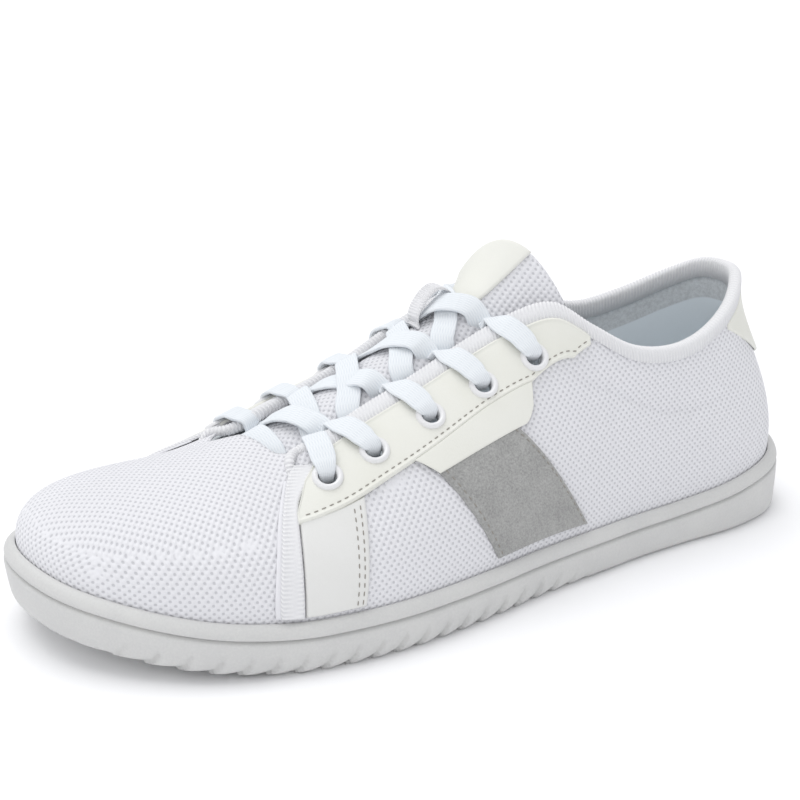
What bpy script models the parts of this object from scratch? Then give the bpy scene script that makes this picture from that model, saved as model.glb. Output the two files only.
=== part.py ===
"""Barefoot shoe for the left foot, standing on its sole.

One skin carries the whole shoe: columns climb from the foot's outline at the sole
to the edge of collar and throat, and a column is set by one row of SECTIONS.  The
upper is that skin with its wall, and each overlay is a patch of the same skin.

Metres.  +X runs from heel to toe, +Y to the lateral side, +Z up.  The origin is on
the floor under the heel seat.
"""

import math
from collections import namedtuple

import bmesh
import bpy
import numpy as np
from mathutils import Matrix

# Driving sizes of the last and the sole
LENGTH = 0.287              # outsole, heel to toe
BALL_WIDTH = 0.106          # outsole at the ball of the foot
UPPER_HEIGHT = 0.082        # heel collar above the cup floor
HEEL_SEAT = 0.038           # heel back to the origin
SOLE_THICKNESS = 0.006      # floor to cup floor
CUP_DEPTH = 0.010           # cup floor to the rim's lip at the ball
TOE_SPRING = 0.011
TOE_BUMPER = 0.004          # how far the rim climbs at the toe
HEEL_BUMPER = 0.0105        # and at the heel
RIM_WALL = 0.0042           # rubber outside the upper
ARCH_LIFT = 0.0015          # waist off the floor on the medial side
HEEL_ROUND = 0.003          # tread's rounding behind the heel
TOE_TUCK = 0.0055           # how far the tread's edge is set in under the toe
HEEL_TUCK = 0.0025          # and under the heel

# Walls, layers and clearances
UPPER_WALL = 0.0020
GAP = 0.0003
LIP_TUCK = 0.0010           # upper's first ring under the lip
LEATHER = 0.0012
BINDING_WALL = 0.0010
BINDING_WIDTH = 0.0060
BINDING_INSIDE = 0.0050
BINDING_EASE = 0.0007       # more room, as the wall is faceted
INSOLE_THICKNESS = 0.0030
TONGUE_THICKNESS = 0.0030

# Lacing
EYELET_COUNT = 5
EYELET_FLANGE = 0.0045
EYELET_BARREL = 0.0029
EYELET_HOLE = 0.0021
EYELET_LIP = 0.0009
LACE_WIDTH = 0.0075
LACE_THICKNESS = 0.0016
KEEPER_WIDTH = 0.0070
KEEPER_HEIGHT = 0.0060      # bow over the two strands of the last crossing
KEEPER_REACH = 0.070        # half its run, as a share of the tongue's length

# Tread grooves
GROOVE_WIDTH = 0.0022
GROOVE_DEPTH = 0.0018
GROOVE_WAVE = 0.0030
GROOVE_WAVES = 4.0
GROOVE_PITCH = 0.0160

# Mesh fineness
AROUND = 56
UP = 9
SKIRT = 1
EYELET_STEPS = 9
HOLE_SIDES = 10
TONGUE_LONG = 14
TONGUE_ACROSS = 10
PATCH_ROWS = 3              # of the tongue's rows, from its tip, under the leather tip
PATCH_COLUMNS = (1, 7)      # the tongue's columns where that leather starts and ends

# One row for each column of the skin, from the heel back along the lateral side, round
# the toe and back along the medial side.  foot_x, edge_x are shares of LENGTH from the
# heel back; foot_y, edge_y and swell of BALL_WIDTH; edge_z of UPPER_HEIGHT; rise and
# drop of the column's height; reach of its run from foot to edge.
Section = namedtuple("Section", "foot_x foot_y edge_x edge_y edge_z rise swell reach drop")
SECTIONS = (
    Section(0.015, 0.009, 0.060, -0.028, 1.000, 0.45, 0.024, -0.20, 0.30),
    Section(0.025, 0.151, 0.070, 0.075, 0.988, 0.45, 0.024, -0.10, 0.30),
    Section(0.062, 0.258, 0.109, 0.170, 0.902, 0.45, 0.024, 0.00, 0.30),
    Section(0.130, 0.308, 0.164, 0.226, 0.817, 0.45, 0.014, 0.10, 0.28),
    Section(0.210, 0.317, 0.220, 0.245, 0.780, 0.45, 0.008, 0.20, 0.26),
    Section(0.283, 0.330, 0.279, 0.241, 0.811, 0.45, 0.003, 0.30, 0.26),
    Section(0.349, 0.354, 0.328, 0.198, 0.909, 0.45, 0.000, 0.38, 0.26),
    Section(0.401, 0.373, 0.370, 0.132, 1.006, 0.45, 0.000, 0.42, 0.22),
    Section(0.454, 0.396, 0.419, 0.099, 0.976, 0.45, 0.000, 0.44, 0.20),
    Section(0.513, 0.429, 0.482, 0.085, 0.884, 0.45, 0.005, 0.44, 0.18),
    Section(0.576, 0.458, 0.552, 0.101, 0.788, 0.44, 0.009, 0.45, 0.17),
    Section(0.638, 0.475, 0.622, 0.121, 0.705, 0.44, 0.013, 0.47, 0.17),
    Section(0.701, 0.470, 0.683, 0.146, 0.630, 0.42, 0.013, 0.50, 0.17),
    Section(0.767, 0.443, 0.719, 0.120, 0.597, 0.42, 0.013, 0.52, 0.15),
    Section(0.840, 0.377, 0.731, 0.022, 0.614, 0.55, 0.014, 0.49, 0.15),
    Section(0.907, 0.255, 0.738, -0.040, 0.614, 0.67, 0.014, 0.48, 0.20),
    Section(0.961, 0.090, 0.744, -0.080, 0.595, 0.73, 0.017, 0.46, 0.21),
    Section(0.983, -0.123, 0.750, -0.121, 0.571, 0.83, 0.017, 0.45, 0.23),
    Section(0.966, -0.297, 0.755, -0.154, 0.551, 0.90, 0.017, 0.44, 0.28),
    Section(0.907, -0.406, 0.754, -0.194, 0.532, 0.74, 0.017, 0.44, 0.28),
    Section(0.833, -0.443, 0.743, -0.220, 0.544, 0.60, 0.014, 0.44, 0.26),
    Section(0.757, -0.453, 0.709, -0.212, 0.583, 0.48, 0.009, 0.46, 0.14),
    Section(0.684, -0.439, 0.649, -0.208, 0.660, 0.45, 0.009, 0.46, 0.12),
    Section(0.607, -0.415, 0.586, -0.215, 0.742, 0.50, 0.009, 0.44, 0.14),
    Section(0.534, -0.382, 0.523, -0.224, 0.845, 0.50, 0.005, 0.44, 0.16),
    Section(0.464, -0.344, 0.454, -0.235, 0.945, 0.50, 0.005, 0.44, 0.18),
    Section(0.401, -0.321, 0.391, -0.256, 1.010, 0.50, 0.005, 0.40, 0.20),
    Section(0.342, -0.307, 0.335, -0.292, 0.933, 0.50, 0.008, 0.30, 0.26),
    Section(0.276, -0.297, 0.276, -0.302, 0.841, 0.45, 0.009, 0.20, 0.28),
    Section(0.203, -0.288, 0.217, -0.297, 0.799, 0.45, 0.014, 0.20, 0.28),
    Section(0.133, -0.274, 0.157, -0.269, 0.841, 0.45, 0.019, 0.10, 0.28),
    Section(0.063, -0.226, 0.105, -0.208, 0.921, 0.45, 0.024, 0.00, 0.30),
    Section(0.025, -0.127, 0.072, -0.123, 0.988, 0.45, 0.024, -0.10, 0.30),
)
STATIONS = len(SECTIONS)
THROAT_LATERAL = 13.0       # station of the throat's front corner, lateral side
THROAT_MEDIAL = 20.0
EYELET_STATIONS = (12.00, 11.05, 9.93, 8.85, 7.70)
EYELET_HEIGHT = (0.750, 0.745, 0.750, 0.740, 0.750)    # share of the column, as skin() counts it

# Overlays, by station of the lateral side and climb on a column
LOW = 0.045
FRONT_EDGE = 13.22          # front binding's front, at the rim
FRONT_WIDTH = 0.36
STRAP_FRONT = 12.72
STRAP_WIDTH = 1.02
STRAP_TOP = 0.53
PANEL_FRONT = (8.85, 2.34)  # station at the rim and its gain over the column
PANEL_REAR = (6.25, 4.10)
PANEL_TOP = 0.44
EYESTAY_LOW = ((6.75, 7.8, 8.9, 10.45, 11.5, 12.74), (0.74, 0.655, 0.64, 0.60, 0.578, 0.553))
EYESTAY_CORNER = ((6.75, 7.3, 11.8, 12.07, 12.48, 12.74), (0.84, 0.95, 0.95, 0.87, 0.775, 0.64))
TAB_SPAN = (10.30, 7.88)
TAB_CLEAR = 0.020
TAB_DROP = 0.110
HEEL_TAB_HALF = 2.2

# One row for each arch of the tongue, from under the vamp to its tip.  x and skew are
# shares of LENGTH, y and half of BALL_WIDTH, z and drop of UPPER_HEIGHT; square is the
# power of the drop, and skew sets the lateral side back and the medial side forward.
Arch = namedtuple("Arch", "x y z half drop square skew")
TONGUE_ARCHES = (
    Arch(0.765, -0.066, 0.510, 0.165, 0.060, 2.6, 0.000),
    Arch(0.725, -0.058, 0.558, 0.200, 0.105, 2.6, 0.000),
    Arch(0.676, -0.058, 0.640, 0.204, 0.165, 2.6, 0.000),
    Arch(0.614, -0.062, 0.742, 0.204, 0.210, 2.7, 0.000),
    Arch(0.551, -0.066, 0.840, 0.196, 0.240, 2.8, 0.000),
    Arch(0.482, -0.072, 0.955, 0.176, 0.250, 2.8, 0.004),
    Arch(0.432, -0.070, 1.078, 0.158, 0.250, 2.4, 0.020),
    Arch(0.388, -0.072, 1.232, 0.182, 0.245, 2.0, 0.044),
)
TONGUE_MEDIAL = 0.76        # its medial half-width, as a share of half

RUBBER = ("rubber_pale", (0.66, 0.67, 0.66), 0.55)
MESH = ("mesh_white", (0.86, 0.86, 0.89), 0.85)
CREAM = ("leather_cream", (0.88, 0.86, 0.79), 0.50)
OFF_WHITE = ("leather_off_white", (0.86, 0.86, 0.83), 0.50)
GREY = ("suede_grey", (0.44, 0.44, 0.44), 0.80)
RIBBED = ("ribbed_tape", (0.84, 0.85, 0.87), 0.80)
CORD = ("lace_white", (0.78, 0.84, 0.90), 0.80)
RING = ("eyelet_white", (0.86, 0.87, 0.88), 0.40)
LINING = ("lining_blue", (0.62, 0.68, 0.74), 0.85)


def along(rows, station):
    """Rows read between stations by a closed Catmull-Rom curve."""
    station = np.asarray(station, float)
    base = np.floor(station).astype(int)
    t = (station - base)[..., None]
    a, b, c, d = (rows[(base + k) % len(rows)] for k in (-1, 0, 1, 2))
    return b + 0.5 * t * (c - a + t * (2 * a - 5 * b + 4 * c - d + t * (3 * (b - c) + d - a)))


def section_rows():
    """SECTIONS in metres: foot x, y; edge x, y, z; rise, swell, reach, drop."""
    share = np.array(SECTIONS, float)
    rows = share.copy()
    rows[:, [0, 2]] = share[:, [0, 2]] * LENGTH - HEEL_SEAT
    rows[:, [1, 3, 6]] = share[:, [1, 3, 6]] * BALL_WIDTH
    rows[:, 4] = share[:, 4] * UPPER_HEIGHT + SOLE_THICKNESS
    return rows


ROWS = section_rows()
BALL_X = 0.727 * LENGTH - HEEL_SEAT     # where the toe spring starts
TOE_X = LENGTH - HEEL_SEAT
HEEL_X = -HEEL_SEAT
WAIST_X = 0.36 * LENGTH - HEEL_SEAT
BUMPER_X = 0.27 * LENGTH - HEEL_SEAT    # where the heel bumper starts to climb


def past(x, start, end):
    """0 before start, 1 at end."""
    return np.clip((np.asarray(x, float) - start) / (end - start), 0.0, None)


def spring(x):
    """Height of the sole's underside from its toe spring."""
    return TOE_SPRING * past(x, BALL_X, TOE_X) ** 1.7


def tread_height(x, y):
    """Underside: toe spring, the heel's rounding and the medial arch."""
    arch = np.exp(-((x - WAIST_X) / (0.11 * LENGTH)) ** 4)
    inner = np.clip(-np.asarray(y) / (0.25 * BALL_WIDTH), 0.0, 1.0)
    back = past(x, 0.07 * LENGTH - HEEL_SEAT, HEEL_X)
    return spring(x) + ARCH_LIFT * arch * inner + HEEL_ROUND * back ** 2


def floor_height(x):
    """Cup floor, on which insole and upper stand."""
    return spring(x) + SOLE_THICKNESS


def lip_height(x):
    """Top of the rim: higher round the toe and the heel."""
    toe = TOE_BUMPER * past(x, BALL_X, TOE_X) ** 2
    heel = HEEL_BUMPER * past(x, BUMPER_X, HEEL_X) ** 2
    return SOLE_THICKNESS + CUP_DEPTH + 0.9 * spring(x) + toe + heel


def outline(station, offset=0.0):
    """Foot outline at the lip, moved outwards by offset, and its outward direction."""
    step = 1e-3
    foot = along(ROWS[:, :2], station)
    run = along(ROWS[:, :2], station + step) - along(ROWS[:, :2], station - step)
    out = np.stack([-run[..., 1], run[..., 0]], -1)
    out /= np.linalg.norm(out, axis=-1, keepdims=True)
    return foot + out * offset, out


def skin_point(station, climb):
    """A column is a cubic from the lip to the edge for climb 0 to 1, and goes straight
    down to the cup floor for climb 0 to -1."""
    station, climb = np.broadcast_arrays(np.asarray(station, float), np.asarray(climb, float))
    rows = along(ROWS, station)
    foot, out = outline(station)
    edge = rows[..., 2:5]
    lip = lip_height(foot[..., 0]) - LIP_TUCK
    start = np.concatenate([foot, lip[..., None]], -1)
    tall = edge[..., 2:3] - start[..., 2:3]
    first = start + np.concatenate([out * rows[..., 6:7], rows[..., 5:6] * tall], -1)
    inward = foot - edge[..., :2]
    second = edge + np.concatenate([inward * rows[..., 7:8], -rows[..., 8:9] * tall], -1)
    t = np.clip(climb, 0.0, 1.0)[..., None]
    point = (1 - t) ** 3 * start + 3 * (1 - t) ** 2 * t * first
    point = point + 3 * (1 - t) * t ** 2 * second + t ** 3 * edge
    skirt = lip - floor_height(foot[..., 0]) - GAP
    point[..., 2] += np.minimum(climb, 0.0) * skirt
    return point


def skin_normal(station, climb):
    """Outward direction of the skin."""
    step = 2e-3
    t = np.clip(climb, 0.0, 1.0)
    across = skin_point(station + step, t) - skin_point(station - step, t)
    upward = skin_point(station, np.minimum(t + step, 1.0)) - skin_point(station, np.maximum(t - step, 0.0))
    normal = np.cross(upward, across)
    return normal / np.linalg.norm(normal, axis=-1, keepdims=True)


def skin(station, climb, lift=0.0):
    """Point of the skin, lifted along its normal; climb past 1 runs on beyond the edge."""
    station, climb, lift = np.broadcast_arrays(
        np.asarray(station, float), np.asarray(climb, float), np.asarray(lift, float))
    return skin_point(station, climb) + skin_normal(station, climb) * lift[..., None]


def climb_below_edge(station, distance):
    """climb at a distance down the column from the edge, measured along the skin."""
    fine = np.linspace(1.0, 0.0, 81)
    result = np.empty(np.broadcast(station, distance).shape)
    station, distance = np.broadcast_arrays(station, distance)
    for index in np.ndindex(result.shape):
        line = skin_point(np.full(fine.shape, station[index]), fine)
        run = np.r_[0.0, np.cumsum(np.linalg.norm(np.diff(line, axis=0), axis=1))]
        result[index] = np.interp(distance[index], run, fine)
    return result


def material(spec):
    """A plain Principled material by name, colour and roughness."""
    name, colour, rough = spec
    made = bpy.data.materials.get(name)
    if made is None:
        made = bpy.data.materials.new(name)
        made.use_nodes = True
        shader = made.node_tree.nodes["Principled BSDF"]
        shader.inputs["Base Color"].default_value = (*colour, 1.0)
        shader.inputs["Roughness"].default_value = rough
        shader.inputs["Metallic"].default_value = 0.0
    return made


def new_collection(name):
    made = bpy.data.collections.new(name)
    bpy.context.scene.collection.children.link(made)
    return made


def add_object(name, points, faces, spec, collection, closed=True):
    """A mesh object from points and faces; a closed one has its faces turned outwards."""
    mesh = bpy.data.meshes.new(name)
    mesh.from_pydata([tuple(p) for p in np.asarray(points)], [], faces)
    if closed:
        work = bmesh.new()
        work.from_mesh(mesh)
        bmesh.ops.recalc_face_normals(work, faces=work.faces)
        work.to_mesh(mesh)
        work.free()
    mesh.materials.append(material(spec))
    mesh.shade_smooth()
    mesh.set_sharp_from_angle(angle=math.radians(40))
    made = bpy.data.objects.new(name, mesh)
    collection.objects.link(made)
    return made


def quads(rows, columns, close_rows=False, close_columns=False, start=0):
    """Quads of a grid whose point i, j has the index start + i * columns + j."""
    faces = []
    for i in range(rows if close_rows else rows - 1):
        for j in range(columns if close_columns else columns - 1):
            k = (i + 1) % rows
            m = (j + 1) % columns
            faces.append((start + i * columns + j, start + k * columns + j,
                          start + k * columns + m, start + i * columns + m))
    return faces


def slab(name, outer, inner, spec, collection):
    """Closed solid between two grids of the same shape."""
    rows, columns = outer.shape[:2]
    count = rows * columns
    faces = quads(rows, columns)
    faces += [tuple(reversed(face)) for face in quads(rows, columns, start=count)]
    rim = [(i, 0) for i in range(rows)]
    rim += [(rows - 1, j) for j in range(1, columns)]
    rim += [(i, columns - 1) for i in range(rows - 2, -1, -1)]
    rim += [(0, j) for j in range(columns - 2, 0, -1)]
    ring = [i * columns + j for i, j in rim]
    for a, b in zip(ring, ring[1:] + ring[:1]):
        faces.append((a, b, b + count, a + count))
    points = np.concatenate([outer.reshape(-1, 3), inner.reshape(-1, 3)])
    return add_object(name, points, faces, spec, collection)


def patch(name, station, climb, spec, collection, thickness=LEATHER, under=GAP):
    """Overlay cut from the skin: grids of station and climb give its place."""
    outer = skin(station, climb, under + thickness)
    inner = skin(station, climb, under)
    return slab(name, outer, inner, spec, collection)


def between(first, last, count):
    return np.linspace(first, last, count)


def under_binding(station, clear=0.0006):
    """climb where an overlay ends, just below the tape on the edge."""
    return climb_below_edge(station, BINDING_WIDTH + clear)


def mirror_station(station):
    """Medial station across the shoe from a lateral one."""
    return STATIONS - station


def cut(target, cutter):
    """Boolean difference by the exact solver."""
    step = target.modifiers.new("cut", "BOOLEAN")
    step.operation = "DIFFERENCE"
    step.solver = "EXACT"
    step.object = cutter


def make_cutter(made):
    made.hide_render = True
    made.display_type = "WIRE"
    return made


def build_upper(collection, holes):
    """Skin from cup floor to edge, open at both ends, with its wall inside."""
    station = np.arange(AROUND) * STATIONS / AROUND
    climb = np.concatenate([between(-1.0, 0.0, SKIRT + 1)[:-1], between(0.0, 1.0, UP + 1)])
    grid = skin(station[:, None], climb[None, :])
    faces = [tuple(reversed(face)) for face in quads(AROUND, len(climb), close_rows=True)]
    upper = add_object("upper", grid.reshape(-1, 3), faces, MESH, collection, closed=False)
    wall = upper.modifiers.new("wall", "SOLIDIFY")
    wall.thickness = UPPER_WALL
    wall.offset = -1.0
    wall.use_even_offset = False
    cut(upper, holes)
    return upper


def cap(ring, height, across):
    """Points and rows that close a ring of even count by strips from side to side."""
    half = len(ring) // 2
    rows = []
    points = []
    for i in range(1, half):
        left, right = ring[i], ring[len(ring) - i]
        share = between(0.0, 1.0, across + 1)[1:-1, None]
        inside = left + (right - left) * share
        inside[:, 2] = height(inside[:, 0], inside[:, 1])
        rows.append((i, len(points), len(ring) - i))
        points.extend(inside)
    return np.array(points), rows


def cap_faces(count, rows, across, ring_start, inner_start):
    """Faces of cap(): fans at heel and toe, quads between."""
    lines = []
    for left, first, right in rows:
        inner = [inner_start + first + k for k in range(across - 1)]
        lines.append([ring_start + left] + inner + [ring_start + right])
    faces = []
    for a, b in zip(lines, lines[1:]):
        for k in range(across):
            faces.append((a[k], b[k], b[k + 1], a[k + 1]))
    heel, toe = ring_start, ring_start + count // 2
    for k in range(across):
        faces.append((heel, lines[0][k], lines[0][k + 1]))
        faces.append((toe, lines[-1][k + 1], lines[-1][k]))
    return faces


def build_outsole(collection, grooves):
    """Cup sole: cup floor, rim with its bead and groove, side wall and tread."""
    station = np.arange(AROUND) * STATIONS / AROUND
    foot, _ = outline(station)
    x = foot[:, 0]
    lip = lip_height(x)
    base = tread_height(x, foot[:, 1])
    tuck = TOE_TUCK * past(x, 0.80 * LENGTH - HEEL_SEAT, TOE_X) ** 2
    tuck = tuck + HEEL_TUCK * past(x, 0.10 * LENGTH - HEEL_SEAT, HEEL_X) ** 2
    wall = lip - base
    # Inside of the rim, bead, groove under it, side wall, tread's edge
    profile = (
        (GAP, floor_height(x)),
        (GAP, lip - 0.0006),
        (0.0010, lip),
        (0.62 * RIM_WALL, lip - 0.0003),
        (0.86 * RIM_WALL, lip - 0.0015),
        (0.86 * RIM_WALL, lip - 0.0032),
        (0.70 * RIM_WALL, lip - 0.0042),
        (0.82 * RIM_WALL, lip - 0.0052),
        (RIM_WALL, base + 0.42 * wall),
        (0.95 * RIM_WALL - 0.4 * tuck, base + 0.0024),
        (0.60 * RIM_WALL - 0.8 * tuck, base + 0.0005),
        (0.15 * RIM_WALL - tuck, base),
    )
    rings = []
    for offset, height in profile:
        place, _ = outline(station, np.asarray(offset)[..., None] * np.ones((AROUND, 1)))
        rings.append(np.column_stack([place, height]))
    tread = rings[-1]
    tread[:, 2] = tread_height(tread[:, 0], tread[:, 1])
    across = 4
    floor_points, floor_rows = cap(rings[0], lambda px, py: floor_height(px), across)
    tread_points, tread_rows = cap(tread, tread_height, across)
    points = np.concatenate(rings + [floor_points, tread_points])
    total = len(rings) * AROUND
    faces = quads(len(rings), AROUND, close_columns=True)
    faces += cap_faces(AROUND, floor_rows, across, 0, total)
    faces += cap_faces(AROUND, tread_rows, across, total - AROUND, total + len(floor_points))
    outsole = add_object("outsole", points, faces, RUBBER, collection)
    cut(outsole, grooves)
    return outsole


def build_grooves(collection):
    """Wavy bars across the tread, from the waist to the toe and under the heel."""
    first, last = 0.46 * LENGTH - HEEL_SEAT, 0.93 * LENGTH - HEEL_SEAT
    heel_first, heel_second = 0.06 * LENGTH - HEEL_SEAT, 0.18 * LENGTH - HEEL_SEAT
    places = list(np.arange(first, last, GROOVE_PITCH)) + [heel_first, heel_second]
    points, faces = [], []
    count = 15
    for place in places:
        y = between(-0.56 * BALL_WIDTH, 0.56 * BALL_WIDTH, count)
        x = place + GROOVE_WAVE * np.sin(y / BALL_WIDTH * GROOVE_WAVES * 2 * math.pi)
        top = tread_height(x, y * 0.0) + GROOVE_DEPTH
        ring = []
        for side, height in ((-0.5, top - 0.02), (0.5, top - 0.02), (0.5, top), (-0.5, top)):
            ring.append(np.column_stack([x + side * GROOVE_WIDTH, y, height]))
        grid = np.stack(ring, 1)
        start = len(points)
        points.extend(grid.reshape(-1, 3))
        faces += quads(count, 4, close_columns=True, start=start)
        faces.append(tuple(start + k for k in range(4)))
        faces.append(tuple(start + (count - 1) * 4 + k for k in reversed(range(4))))
    return make_cutter(add_object("groove_cutter", points, faces, RUBBER, collection))


def build_insole(collection):
    """Flat sock that fills the upper's inside on the cup floor."""
    station = np.arange(AROUND // 2) * STATIONS / (AROUND // 2)
    count = len(station)
    inset = -(UPPER_WALL + 2 * GAP) * np.ones((count, 1))
    place, _ = outline(station, inset)
    low = np.column_stack([place, floor_height(place[:, 0]) + GAP])
    high = low + (0.0, 0.0, INSOLE_THICKNESS)
    across = 3

    def under(px, py):
        return floor_height(px) + GAP

    def over(px, py):
        return under(px, py) + INSOLE_THICKNESS

    low_points, low_rows = cap(low, under, across)
    high_points, high_rows = cap(high, over, across)
    points = np.concatenate([low, high, low_points, high_points])
    faces = quads(2, count, close_columns=True)
    faces += cap_faces(count, low_rows, across, 0, 2 * count)
    faces += cap_faces(count, high_rows, across, count, 2 * count + len(low_points))
    return add_object("insole", points, faces, LINING, collection)


def tongue_rows():
    share = np.array(TONGUE_ARCHES, float)
    rows = share.copy()
    rows[:, 0] = share[:, 0] * LENGTH - HEEL_SEAT
    rows[:, 6] = share[:, 6] * LENGTH
    rows[:, [1, 3]] = share[:, [1, 3]] * BALL_WIDTH
    rows[:, 2] = share[:, 2] * UPPER_HEIGHT + SOLE_THICKNESS
    rows[:, 4] = share[:, 4] * UPPER_HEIGHT
    return rows


TONGUE = tongue_rows()


def tongue_point(length, across):
    """Top of the tongue: length 0 under the vamp to 1 at the tip, across -1 medial to 1
    lateral; each cross-section is an arch whose sides drop by a power."""
    length, across = np.broadcast_arrays(np.asarray(length, float), np.asarray(across, float))
    last = len(TONGUE) - 1
    place = np.clip(length, 0.0, 1.0) * last
    base = np.clip(np.floor(place).astype(int), 0, last - 1)
    t = (place - base)[..., None]
    a, b, c, d = (TONGUE[np.clip(base + k, 0, last)] for k in (-1, 0, 1, 2))
    rows = b + 0.5 * t * (c - a + t * (2 * a - 5 * b + 4 * c - d + t * (3 * (b - c) + d - a)))
    x, y, z, half, drop, square, skew = np.moveaxis(rows, -1, 0)
    side = np.abs(across)
    half = np.where(across < 0, TONGUE_MEDIAL * half, half)
    return np.stack([x - across * skew, y + across * half, z - drop * side ** square], -1)


def tongue_normal(length, across):
    """Outward direction of the tongue's top."""
    step = 2e-3
    run = tongue_point(np.minimum(length + step, 1.0), across) - tongue_point(np.maximum(length - step, 0.0), across)
    side = tongue_point(length, across + step) - tongue_point(length, across - step)
    normal = np.cross(side, run)
    return normal / np.linalg.norm(normal, axis=-1, keepdims=True)


def tongue_skin(length, across, lift=0.0):
    """Point above the tongue's top by lift."""
    length, across, lift = np.broadcast_arrays(
        np.asarray(length, float), np.asarray(across, float), np.asarray(lift, float))
    return tongue_point(length, across) + tongue_normal(length, across) * lift[..., None]


def build_tongue(collection):
    length = between(0.0, 1.0, TONGUE_LONG + 1)[:, None]
    across = between(-1.0, 1.0, TONGUE_ACROSS + 1)[None, :]
    top = tongue_skin(length, across)
    bottom = tongue_skin(length, across, -TONGUE_THICKNESS)
    return slab("tongue", top, bottom, MESH, collection)


def build_tongue_patch(collection):
    """Leather at the tip of the tongue, on the tongue's own rows and columns."""
    length = between(1.0 - PATCH_ROWS / TONGUE_LONG, 1.0, PATCH_ROWS + 1)[:, None]
    across = between(-1.0, 1.0, TONGUE_ACROSS + 1)[None, PATCH_COLUMNS[0]:PATCH_COLUMNS[1] + 1]
    outer = tongue_skin(length, across, GAP + LEATHER)
    inner = tongue_skin(length, across, GAP)
    return slab("tongue_patch", outer, inner, CREAM, collection)


def build_lace_keeper(collection):
    """Webbing loop on the tongue, bowed over the lace; its rear end lies on the leather."""
    half_width = 0.5 * KEEPER_WIDTH
    middle = row_length(KEEPER_ROW)
    reach = between(-1.0, 1.0, 11)
    length = middle + KEEPER_REACH * reach
    bow = np.clip(1.0 - (reach / 0.86) ** 2, 0.0, 1.0) ** 0.35
    lift = GAP + PATCH_TOP * np.clip(reach + 0.5, 0.0, 1.0) + KEEPER_HEIGHT * bow
    centre = tongue_skin(length, np.full(length.shape, 0.0), lift)
    width = np.array([0.0, 1.0, 0.0])
    outer, inner = [], []
    for side in (-half_width, half_width):
        inner.append(centre + width * side)
        outer.append(tongue_skin(length, np.full(length.shape, 0.0), lift + 0.0012) + width * side)
    return slab("lace_keeper", np.stack(outer, 1), np.stack(inner, 1), RIBBED, collection)


def build_collar_binding(collection):
    """Tape folded over the edge, from the throat's lateral corner round the heel to its
    medial corner."""
    first, last = THROAT_MEDIAL - STATIONS, THROAT_LATERAL
    pitch = STATIONS / AROUND
    station = np.r_[first + 0.4, np.arange(math.ceil((first + 0.5) / pitch), (last - 0.5) / pitch) * pitch, last - 0.4]
    low_out = climb_below_edge(station, BINDING_WIDTH)
    low_in = climb_below_edge(station, BINDING_INSIDE)
    edge = np.ones(station.shape)
    down = skin_point(station, climb_below_edge(station, 0.001)) - skin_point(station, edge)
    down /= np.linalg.norm(down, axis=-1, keepdims=True)
    near, far = GAP + BINDING_EASE, GAP + BINDING_EASE + BINDING_WALL
    inner_near, inner_far = -(UPPER_WALL + near), -(UPPER_WALL + far)
    middle = -0.5 * UPPER_WALL
    ring = (
        skin(station, low_out, near),
        skin(station, low_out, far),
        skin(station, edge, far),
        skin(station, edge, middle) - down * far,
        skin(station, edge, inner_far),
        skin(station, low_in, inner_far),
        skin(station, low_in, inner_near),
        skin(station, edge, inner_near),
        skin(station, edge, middle) - down * near,
        skin(station, edge, near),
    )
    grid = np.stack(ring, 1)
    count = grid.shape[1]
    faces = quads(len(station), count, close_columns=True)
    faces.append(tuple(range(count)))
    faces.append(tuple((len(station) - 1) * count + k for k in reversed(range(count))))
    return add_object("collar_binding", grid.reshape(-1, 3), faces, RIBBED, collection)


def both_sides(name, station, climb, spec, collection, **more):
    """The same patch on the lateral and the medial side."""
    patch(name + "_lateral", station, climb, spec, collection, **more)
    patch(name + "_medial", mirror_station(station), climb, spec, collection, **more)


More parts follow.
